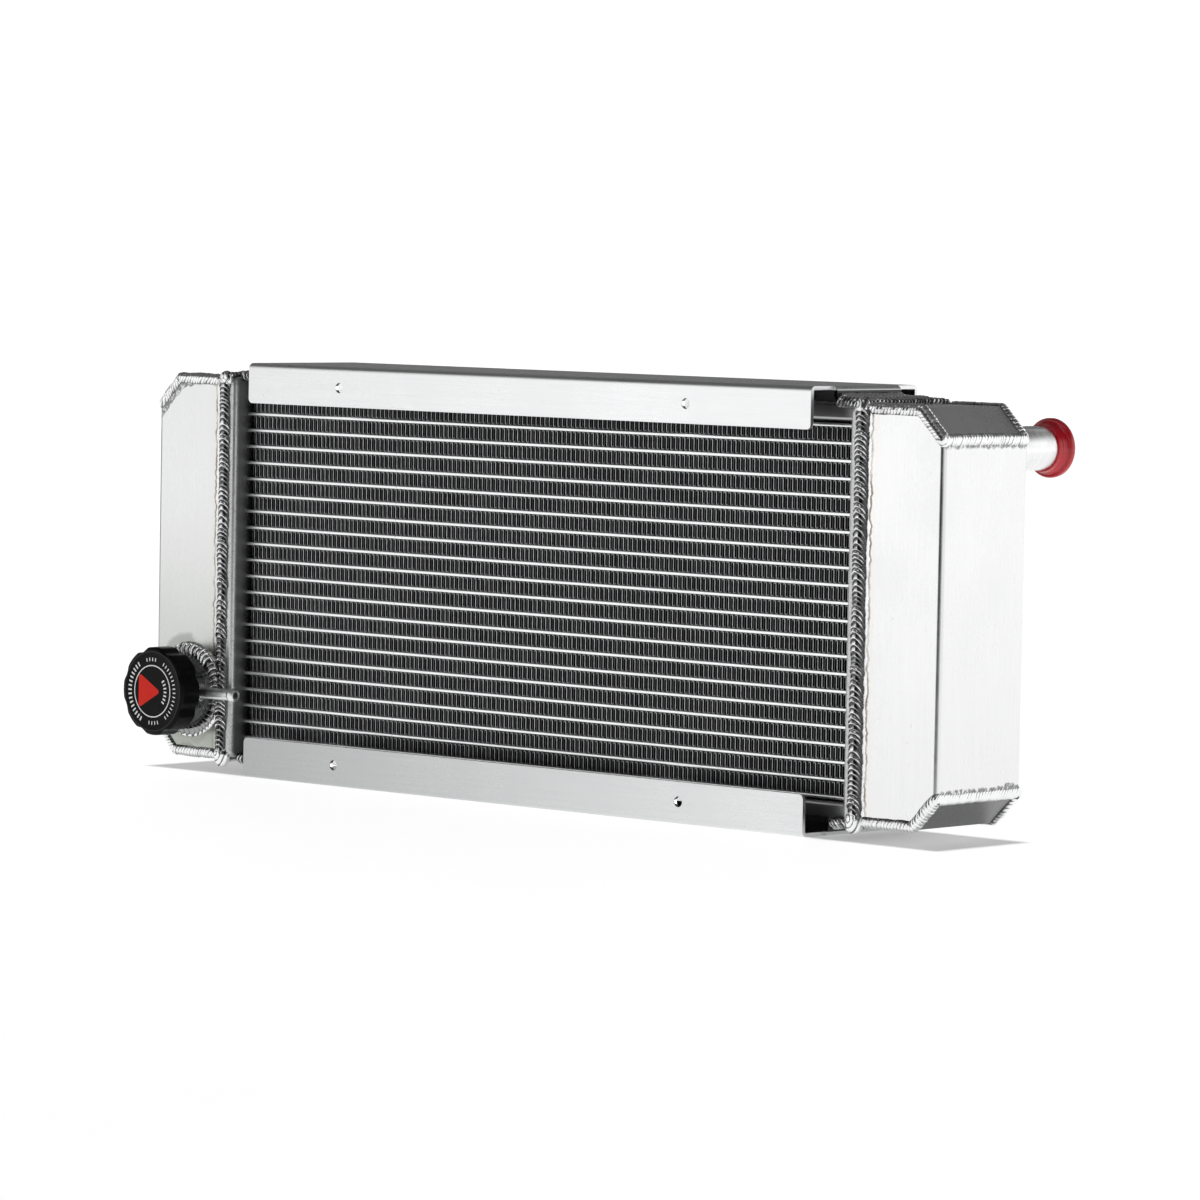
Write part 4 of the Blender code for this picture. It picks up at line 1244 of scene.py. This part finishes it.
def add_tank_welds(side, name):
    """The header's seam, both end caps' seams and the lumps of weld where they meet."""
    add_bead(f"weld_header_{name}", *header_seam(side), 0.0053, 60, 0.0031, 0.0030, 10 + side, ripple=0.0011,
             bow=1.9, lean=0.10 * side, closed=True, turn_width=0.004, material=RIPPLE_WELD)
    for top, level in ((True, "top"), (False, "bottom")):
        seed = 20 + 3 * side + top
        add_bead(f"weld_cap_{name}_{level}", *cap_seam(side, top), 0.0036, 98, 0.0032, 0.0024, seed,
                 ripple=0.00050, bow=0.8, lean=0.7, turn_width=0.004, sway=0.0002, across=31)
    seam_x = side * (TANK_IN + HEADER_RIM) / 2
    for up, level, radii in ((1, "top", (0.0050, 0.0036, 0.0048)), (-1, "bottom", (0.0058, 0.0040, 0.0070))):
        corner_z = MIDDLE + up * HALF_HEIGHT
        add_blob(f"weld_ball_{name}_{level}", (seam_x, TANK_FRONT + 0.0006, corner_z - up * 0.0010), radii,
                 3 + side + up, pitch=0.0030)
        add_blob(f"weld_lump_{name}_{level}", (seam_x, -TANK_FRONT - 0.0022, corner_z - up * 0.0012),
                 (0.0046, 0.0040, 0.0036), 7 + side + up, DULL_WELD)
        for y, face in ((TANK_FRONT, "front"), (-TANK_FRONT, "back")):
            knee = (side * (TANK_FACE - 0.0024), y * 0.95, corner_z + up * (0.0002 - TANK_CHAMFER))
            add_blob(f"weld_knee_{name}_{level}_{face}", knee, (0.0027, 0.0029, 0.0032), 11 + side + up)


def add_tongue_welds(side, name, up, level):
    """The beads round a channel's tongue: at its end, at its foot and along both its edges."""
    z = MIDDLE + up * HALF_HEIGHT
    end = side * (TONGUE_END + 0.0002)
    foot = side * (CHANNEL_REACH + 0.0062)
    seed = side + up
    direction = -1 if side == up else 1

    def cross_bead(kind, x, height, reach, lean, size, angle, number, material):
        line = [(x, y * direction * reach, z + up * height) for y in (-1, 1)]
        normal = (side * lean[0], 0, up * lean[1])
        add_bead(f"weld_{kind}_{name}_{level}", line, [normal] * 2, size, angle, 0.0024, 0.0030,
                 number + seed, ripple=0.0008, bow=1.1, material=material)

    cross_bead("tongue", end, 0.0012, TONGUE_HALF + 0.0008, (0.5, 0.866), 0.0046, 72, 40, RIPPLE_WELD)
    cross_bead("joggle", foot, 0.0030, TONGUE_HALF - 0.0004, (0.4, 0.917), 0.0042, 76, 60, WELD)
    start = side * (CHANNEL_REACH + 0.0045)
    for y, face in ((-TONGUE_HALF - 0.0006, "front"), (TONGUE_HALF + 0.0006, "back")):
        line = [(start, y, z + up * 0.0014), (end, y, z + up * 0.0008)]
        normal = (0, math.copysign(0.6, y), up * 0.8)
        add_bead(f"weld_foot_{name}_{level}_{face}", line, [normal] * 2, 0.0044, 74, 0.0024, 0.0028,
                 50 + seed, ripple=0.0008, bow=1.2, material=RIPPLE_WELD)


def add_ring_welds():
    """The beads round the filler's neck, its overflow nipple and both pipes."""
    neck = ((NECK_X, TANK_FRONT, NECK_Z), (0, -1, 0))
    add_bead("weld_neck", *ring_line(*neck, 0.0240, 0.30), 0.0060, 60, 0.0030, 0.0034, 71, ripple=0.0013,
             bow=1.2, closed=True, material=NECK_WELD)
    add_bead("weld_neck_toe", *ring_line(*neck, 0.0284, 0.45), 0.0022, 75, 0.0010, 0.0060, 75, ripple=0.0002,
             bow=0.5, closed=True)
    nipple = ((NECK_X + NECK_BODY + 0.0012, TANK_FRONT - NIPPLE_HEIGHT, NECK_Z), (1, 0, 0))
    add_bead("weld_nipple", *ring_line(*nipple, NIPPLE_RADIUS + 0.0006, 0.5, 48), 0.0019, 75, 0.0008, 0.0017,
             81, ripple=0.0003, closed=True, material=DULL_WELD)
    for side, name in ((-1, "inlet"), (1, "outlet")):
        pipe = ((side * PIPE_X, TANK_HALF_DEPTH, MIDDLE + side * PIPE_HEIGHT), (0, 1, 0))
        add_bead(f"weld_{name}", *ring_line(*pipe, PIPE_RADIUS + 0.0018, 0.35, 80), 0.0034, 58, 0.0018,
                 0.0023, 91 + side, ripple=0.0004, closed=True)


def add_welds():
    for side, name in ((-1, "left"), (1, "right")):
        add_tank_welds(side, name)
        for up, level in ((1, "top"), (-1, "bottom")):
            add_tongue_welds(side, name, up, level)
    add_ring_welds()


# ---------------------------------------------------------------- pipes, plugs, neck and cap


def add_pipes():
    """Pipes behind the tanks, each with a hollow plug pushed into its mouth."""
    root = -0.0035
    for side, name in ((-1, "inlet"), (1, "outlet")):
        centre = Vector((side * PIPE_X, TANK_HALF_DEPTH, MIDDLE + side * PIPE_HEIGHT))
        metal = turned_metal(f"{name}_pipe_metal", tuple(centre), 1, (0.92, 0.925, 0.93), 0.26, 500.0,
                             0.000008, 0.06)
        length = PIPE_END - TANK_HALF_DEPTH
        profile = [(PIPE_BORE, root), (PIPE_RADIUS, root), (PIPE_RADIUS, length), (PIPE_BORE, length)]
        turned(f"{name}_pipe_skin", profile, along((0, 1, 0), centre), metal, rounding=0.0006,
               slot="brushed_sheet", replaces=[f"{name}_pipe"])
        end = centre + Vector((0, length, 0))
        rim = PLUG_END - PIPE_END
        spigot = PIPE_BORE - 0.0003
        profile = [
            (0, -0.011), (spigot - 0.0008, -0.011), (spigot, -0.0098), (spigot, 0.0003), (0.0136, 0.0003),
            (0.0138, 0.0030), (0.0143, 0.0036), (0.0143, 0.0048), (0.0146, 0.0060), (0.0155, 0.0068),
            (PLUG_RADIUS - 0.0008, rim - 0.0042), (PLUG_RADIUS, rim - 0.0034), (PLUG_RADIUS, rim - 0.0010),
            (PLUG_RADIUS - 0.0010, rim), (spigot - 0.0007, rim), (spigot - 0.0015, rim - 0.0008),
            (spigot - 0.0015, -0.0095), (0, -0.0095),
        ]
        turned(f"{name}_plug_skin", profile, along((0, 1, 0), end), RED, rounding=0.0006, body=f"{name}_plug",
               slot="red_plastic", replaces=[f"{name}_plug"])


def add_neck():
    centre = Vector((NECK_X, TANK_FRONT, NECK_Z))
    front = along((0, -1, 0), centre)
    lip = 0.0225
    profile = [
        (NECK_THROAT, -SHEET), (NECK_THROAT + 0.0015, -SHEET), (NECK_THROAT + 0.0015, 0.0003),
        (NECK_BODY + 0.0010, 0.0003), (NECK_BODY + 0.0003, 0.0060), (NECK_BODY, 0.0070),
        (NECK_BODY, NECK_RIM - 0.0045), (lip, NECK_RIM - 0.0035), (lip, NECK_RIM - 0.0004),
        (lip - 0.0006, NECK_RIM), (NECK_CHAMBER + 0.0006, NECK_RIM), (NECK_CHAMBER, NECK_RIM - 0.0006),
        (NECK_CHAMBER, NECK_SEAT), (NECK_THROAT, NECK_SEAT),
    ]
    turned("filler_neck_skin", profile, front, SHADED_NECK_METAL, rounding=0.0004, slot="machined_neck",
           replaces=["filler_neck"])
    place = along((1, 0, 0), Vector((NECK_X, TANK_FRONT - NIPPLE_HEIGHT, NECK_Z)))
    bead = NIPPLE_RADIUS + 0.0006
    bore = 0.0020
    start = NECK_CHAMBER + 0.001
    profile = [
        (bore, start), (NIPPLE_RADIUS, start), (NIPPLE_RADIUS, NIPPLE_END - 0.0052),
        (bead - 0.0002, NIPPLE_END - 0.0044), (bead, NIPPLE_END - 0.0036), (bead, NIPPLE_END - 0.0026),
        (NIPPLE_RADIUS, NIPPLE_END - 0.0004), (NIPPLE_RADIUS - 0.0005, NIPPLE_END), (bore, NIPPLE_END),
    ]
    turned("overflow_nipple", profile, place, NIPPLE_METAL, steps=48, rounding=0.0004, slot="machined_neck")


PRINT_DIP = 0.00012  # the printed face lies this much below the cap's rim


def cap_rows(top):
    """The cap's surface as rings of points, from its back edge over the face to the underside."""
    steps, scallops, shoulder = 320, 8, 0.0021
    angle = np.linspace(0, math.tau, steps, endpoint=False)
    wave = np.clip(-np.cos(scallops * angle), 0, 1) ** 1.6
    lobed = CAP_RADIUS - 0.0016 * wave
    face = CAP_RADIUS - 0.0027
    rings = [
        (CAP_BACK, lobed - 0.0006), (CAP_BACK + 0.00015, lobed - 0.00025),
        (CAP_BACK + 0.0005, lobed - 0.00005), (CAP_BACK + 0.0010, lobed),
        (CAP_FRONT - shoulder - 0.004, lobed),
    ]
    for k in range(11):
        a = math.radians(90 * k / 10)
        rings.append((top - shoulder * (1 - math.sin(a)), face + (lobed - face) * math.cos(a)))
    rings += [(top, 0.0240)] + [(top - PRINT_DIP, radius) for radius in (0.0236, 0.012, 0.004, 0.0)]
    under, post, post_end, bore = CAP_FRONT - 0.003, 0.004, 0.018, 0.023
    rings += [
        (post_end + 0.0001, 0.0), (post_end, post - 0.0004), (post_end + 0.0004, post), (under, post),
        (under, bore - 0.0004), (under - 0.0004, bore), (CAP_BACK + 0.0006, bore), (CAP_BACK, bore + 0.0006),
    ]
    return np.stack([np.stack([radius * np.cos(angle), radius * np.sin(angle), np.full(steps, height)], -1)
                     for height, radius in rings], 0)


def add_cap():
    """A scalloped skirt, rounded over to a smaller face; hollow, with the post that guides the valve."""
    top = CAP_FRONT - 0.00004
    place = along((0, -1, 0), Vector((NECK_X, TANK_FRONT, NECK_Z)))
    made = add_grid("cap_shell_skin", moved(cap_rows(top), place), CAP_BLACK, closed_u=True, closed_v=True,
                    body="cap_shell", slot="black_anodised", replaces=["cap_shell"])
    merge_points(made, 28, empty_area=1e-14)
    add_cap_print(place, top - PRINT_DIP)


def add_cap_print(place, level):
    """A plain ring, a blank triangle and dial ticks, printed on the cap's face."""
    root = level - 0.0001

    def print_on(name, bm, material):
        bmesh.ops.transform(bm, matrix=place, verts=bm.verts)
        add_bm(name, bm, material, body="cap_shell", slot="black_anodised")

    print_on("cap_ring", prism([circle((0, 0), r, 128) for r in (0.01625, 0.01555)], root, level + 0.00006),
             WHITE_INK)
    corners = [Vector((-0.0122, 0.0110)), Vector((0.0074, 0.0)), Vector((-0.0122, -0.0110))]
    outline = []
    for i, here in enumerate(corners):
        outline += bezier(here.lerp(corners[i - 1], 0.16), here, here.lerp(corners[(i + 1) % 3], 0.16), 6)
    print_on("cap_triangle", prism([outline], root, level + 0.00006), RED_INK)
    ticks = bmesh.new()

    def tick(degrees, inner, outer, half):
        turn = Matrix.Rotation(math.radians(degrees), 3, "Z")
        corners = ((inner, -half), (outer, -half), (outer, half), (inner, half))
        face = ticks.faces.new([ticks.verts.new(turn @ Vector((r, s, root))) for r, s in corners])
        extrude(ticks, [face], (0, 0, 0.00016))

    blanks = (9, 10, 15, 16, 33, 34, 39, 40)
    for i in set(range(48)) - set(blanks):
        heavy = 16 < i < 33
        tick(7.5 * i, 0.0186, 0.0216 if heavy else 0.0208, 0.00052 if heavy else 0.00036)
    for i in range(-3, 4):
        tick(11.5 * i, 0.0104, 0.0128, 0.00050)
    print_on("cap_ticks", ticks, WHITE_INK)


def add_spring():
    """A coil of round wire with closed ends."""
    low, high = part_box("cap_spring")
    wire, turns, per_turn, round_steps = 0.001, 4, 48, 14
    start, end = TANK_FRONT - high.y + wire, TANK_FRONT - low.y - wire
    t = np.linspace(0, 1, turns * per_turn + 1)
    angle = math.tau * turns * t
    radius = (high.x - low.x) / 2 - wire
    middle = np.stack([radius * np.cos(angle), radius * np.sin(angle), start + (end - start) * t], -1)
    out = np.stack([np.cos(angle), np.sin(angle), 0 * angle], -1)
    up = np.cross(out, unit(np.gradient(middle, axis=0)))
    phi = np.linspace(0, math.tau, round_steps, endpoint=False)
    taper = np.sqrt(np.clip(1 - (1 - np.clip(np.minimum(t, 1 - t) * 600, 0, 1)) ** 2, 0.01, 1))
    rings = middle[:, None] + wire * taper[:, None, None] * (
        out[:, None] * np.cos(phi)[None, :, None] + up[:, None] * np.sin(phi)[None, :, None])
    place = along((0, -1, 0), Vector((NECK_X, TANK_FRONT, NECK_Z)))
    made = add_grid("cap_spring_coil", moved(rings, place), STEEL, closed_v=True, body="cap_spring",
                    slot="spring_steel", replaces=["cap_spring"], sharp=0)
    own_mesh(made)


# ---------------------------------------------------------------- build

add_tubes()
add_fins()
add_side_plates()
add_channels()
add_headers()
add_tanks()
add_welds()
add_pipes()
add_neck()
add_cap()
add_spring()
for node, metal, name in (("pressure_valve", STEEL, "spring_steel"), ("vacuum_valve", BRASS, "valve_brass")):
    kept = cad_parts[node]
    kept.data.materials.clear()
    kept.data.materials.append(metal)

# ---------------------------------------------------------------- studio


def add_floor():
    """A white floor that glows, least of all under the radiator, which paints a soft shadow there."""
    k = Looks("studio_floor")
    x, y, _ = k.axes()
    tone = k.mix(k.ramp(k.noise(6, 3, 0.5), 0.3, 0.7), grey(0.44), grey(0.47))
    past_x = k.most(k.minus(k.size(x), HIGH.x), 0.0)
    past_y = k.most(k.minus(k.size(y), -TANK_FRONT), 0.0)
    away = k.math("SQRT", k.plus(k.times(past_x, past_x), k.times(past_y, past_y)))
    # painted shadow: the glow fades close to the radiator's footprint
    material = k.set(Base_Color=tone, Roughness=0.6, Emission_Color=(1, 1, 1),
                     Emission_Strength=k.ramp(away, -0.005, 0.009, 0.12, 0.87))
    mesh = bpy.data.meshes.new("studio_floor")
    half = 40
    corners = [(-half, -half, 0), (half, -half, 0), (half, half, 0), (-half, half, 0)]
    mesh.from_pydata(corners, [], [(0, 1, 2, 3)])
    mesh.materials.append(material)
    floor = link("studio_floor", mesh)
    floor.location = (0, 0, LOW.z - 0.0003)


ROOM_LEVELS = (
    (-180, 0.77), (-130, 0.77), (-60, 0.52), (-50, 0.52), (-44, 0.58), (-38, 0.72), (-30, 0.80), (-20, 0.80),
    (-12, 0.02), (40, 0.02), (56, 0.48), (140, 0.52), (160, 0.77), (180, 0.77),
)


def add_world():
    """A white room behind the object and at both sides, darker overhead and in front."""
    world = bpy.data.worlds.new("studio")
    bpy.context.scene.world = world
    world.use_nodes = True
    k = Nodes(world.node_tree, "Generated")
    x, y, z = k.axes()
    # the room's level by azimuth, from the front (0) towards the right (positive)
    azimuth = k.plus(k.math("DIVIDE", k.math("ARCTAN2", x, k.times(y, -1.0)), math.tau), 0.5)
    levels = k.node("ValToRGB", None, i0=azimuth)
    stops = levels.color_ramp.elements
    for degrees, level in ROOM_LEVELS[1:-1]:
        stops.new(degrees / 360 + 0.5)
    for stop, (degrees, level) in zip(stops, ROOM_LEVELS):
        stop.position = degrees / 360 + 0.5
        stop.color = (*grey(level), 1)
    lit = k.times(levels.outputs[0], k.ramp(z, 0.34, 0.60, 1.0, 0.0))
    sky = k.tree.nodes["Background"]
    k.feed(sky.inputs["Strength"], k.plus(k.times(lit, 1.3), 0.10))
    k.feed(sky.inputs["Color"], (1, 1, 1))


def add_flag(name, azimuth, distance, width, low, high, tone=0.03):
    """A cloth beside the set: only the metal's reflections see it."""
    k = Looks(name)
    weave = k.noise(900, 2, 0.5)
    material = k.set(Base_Color=k.mix(k.ramp(weave, 0.3, 0.7), grey(tone * 0.8), grey(tone * 1.2)),
                     Roughness=0.9, Normal=k.bump(weave, 0.0005, 0.5), Specular_IOR_Level=0.1)
    angle = math.radians(azimuth)
    middle = Vector((math.sin(angle), -math.cos(angle), 0)) * distance
    side = Vector((math.cos(angle), math.sin(angle), 0)) * width / 2
    mesh = bpy.data.meshes.new(name)
    corners = [middle - side, middle + side, middle + side, middle - side]
    mesh.from_pydata([(*c.xy, z) for c, z in zip(corners, (low, low, high, high))], [], [(0, 1, 2, 3)])
    mesh.materials.append(material)
    made = link(name, mesh)
    made.visible_camera = made.visible_diffuse = made.visible_shadow = False


def add_softbox(name, place, target, width, height, radiance):
    light = bpy.data.lights.new(name, "AREA")
    light.shape = "RECTANGLE"
    light.size, light.size_y = width, height
    light.energy = radiance * math.pi * width * height
    made = link(name, light)
    made.location = place
    made.rotation_mode = "QUATERNION"
    made.rotation_quaternion = (Vector(target) - Vector(place)).to_track_quat("-Z", "Y")
    made.visible_camera = False


CAMERA_AZIMUTH = 42.776
CAMERA_ELEVATION = 3.55
CAMERA_ROLL = 1.053
CAMERA_DISTANCE = 3.529344
CAMERA_AIM = (0.018858, -0.007131)
CAMERA_LENS = 178.72


def add_camera():
    """The camera that took the photograph, by its turn, height and roll round the radiator's middle."""
    azimuth, elevation, roll = (math.radians(a) for a in (CAMERA_AZIMUTH, CAMERA_ELEVATION, CAMERA_ROLL))
    level = math.cos(elevation)
    back = Vector((math.sin(azimuth) * level, -math.cos(azimuth) * level, math.sin(elevation)))
    right = Vector((0, 0, 1)).cross(back).normalized()
    up = back.cross(right)
    tilted_right = right * math.cos(roll) + up * math.sin(roll)
    tilted_up = up * math.cos(roll) - right * math.sin(roll)
    camera = bpy.data.cameras.new("camera")
    camera.lens = CAMERA_LENS
    camera.sensor_width = 36
    camera.clip_start, camera.clip_end = 0.1, 200
    made = link("camera", camera)
    made.rotation_mode = "QUATERNION"
    made.rotation_quaternion = Matrix((tilted_right, tilted_up, back)).transposed().to_quaternion()
    aim = Vector((0, 0, MIDDLE)) + tilted_right * CAMERA_AIM[0] + tilted_up * CAMERA_AIM[1]
    made.location = aim + back * CAMERA_DISTANCE
    bpy.context.scene.camera = made


add_floor()
add_world()
add_flag("flag_front", 18, 1.0, 0.84, 0.002, 0.9)
add_flag("flag_back", CAMERA_AZIMUTH + 180, 1.2, 1.5, 0.26, 1.4, tone=0.24)
add_softbox("softbox_left", (-0.80, -1.34, 0.30), (0.05, 0, 0.16), 0.7, 0.75, 0.22)
add_softbox("softbox_right", (1.35, 1.30, 0.40), (0.2, 0, 0.16), 1.2, 0.8, 0.22)
add_softbox("softbox_top", (0.5, -0.9, 1.7), (0.0, 0, 0.1), 0.8, 0.8, 0.6)
# small lights inside the channels, which the flange holes let through
HOLES = [(x, z) for x in CHANNEL_HOLES for z in (HOLE_FROM_WEB, HIGH.z - HOLE_FROM_WEB)]
for number, (x, z) in enumerate(HOLES, 1):
    add_softbox(f"hole_light_{number}", (x - 0.036, -0.0435, z), (x - 0.036, 0, z), 0.016, 0.014, 3.0)
    add_softbox(f"hole_glow_{number}", (x + 0.014, -0.0275, z), (x + 0.014, -0.05, z), 0.024, 0.018, 3.5)
add_camera()
bpy.context.scene.view_settings.view_transform = "Standard"
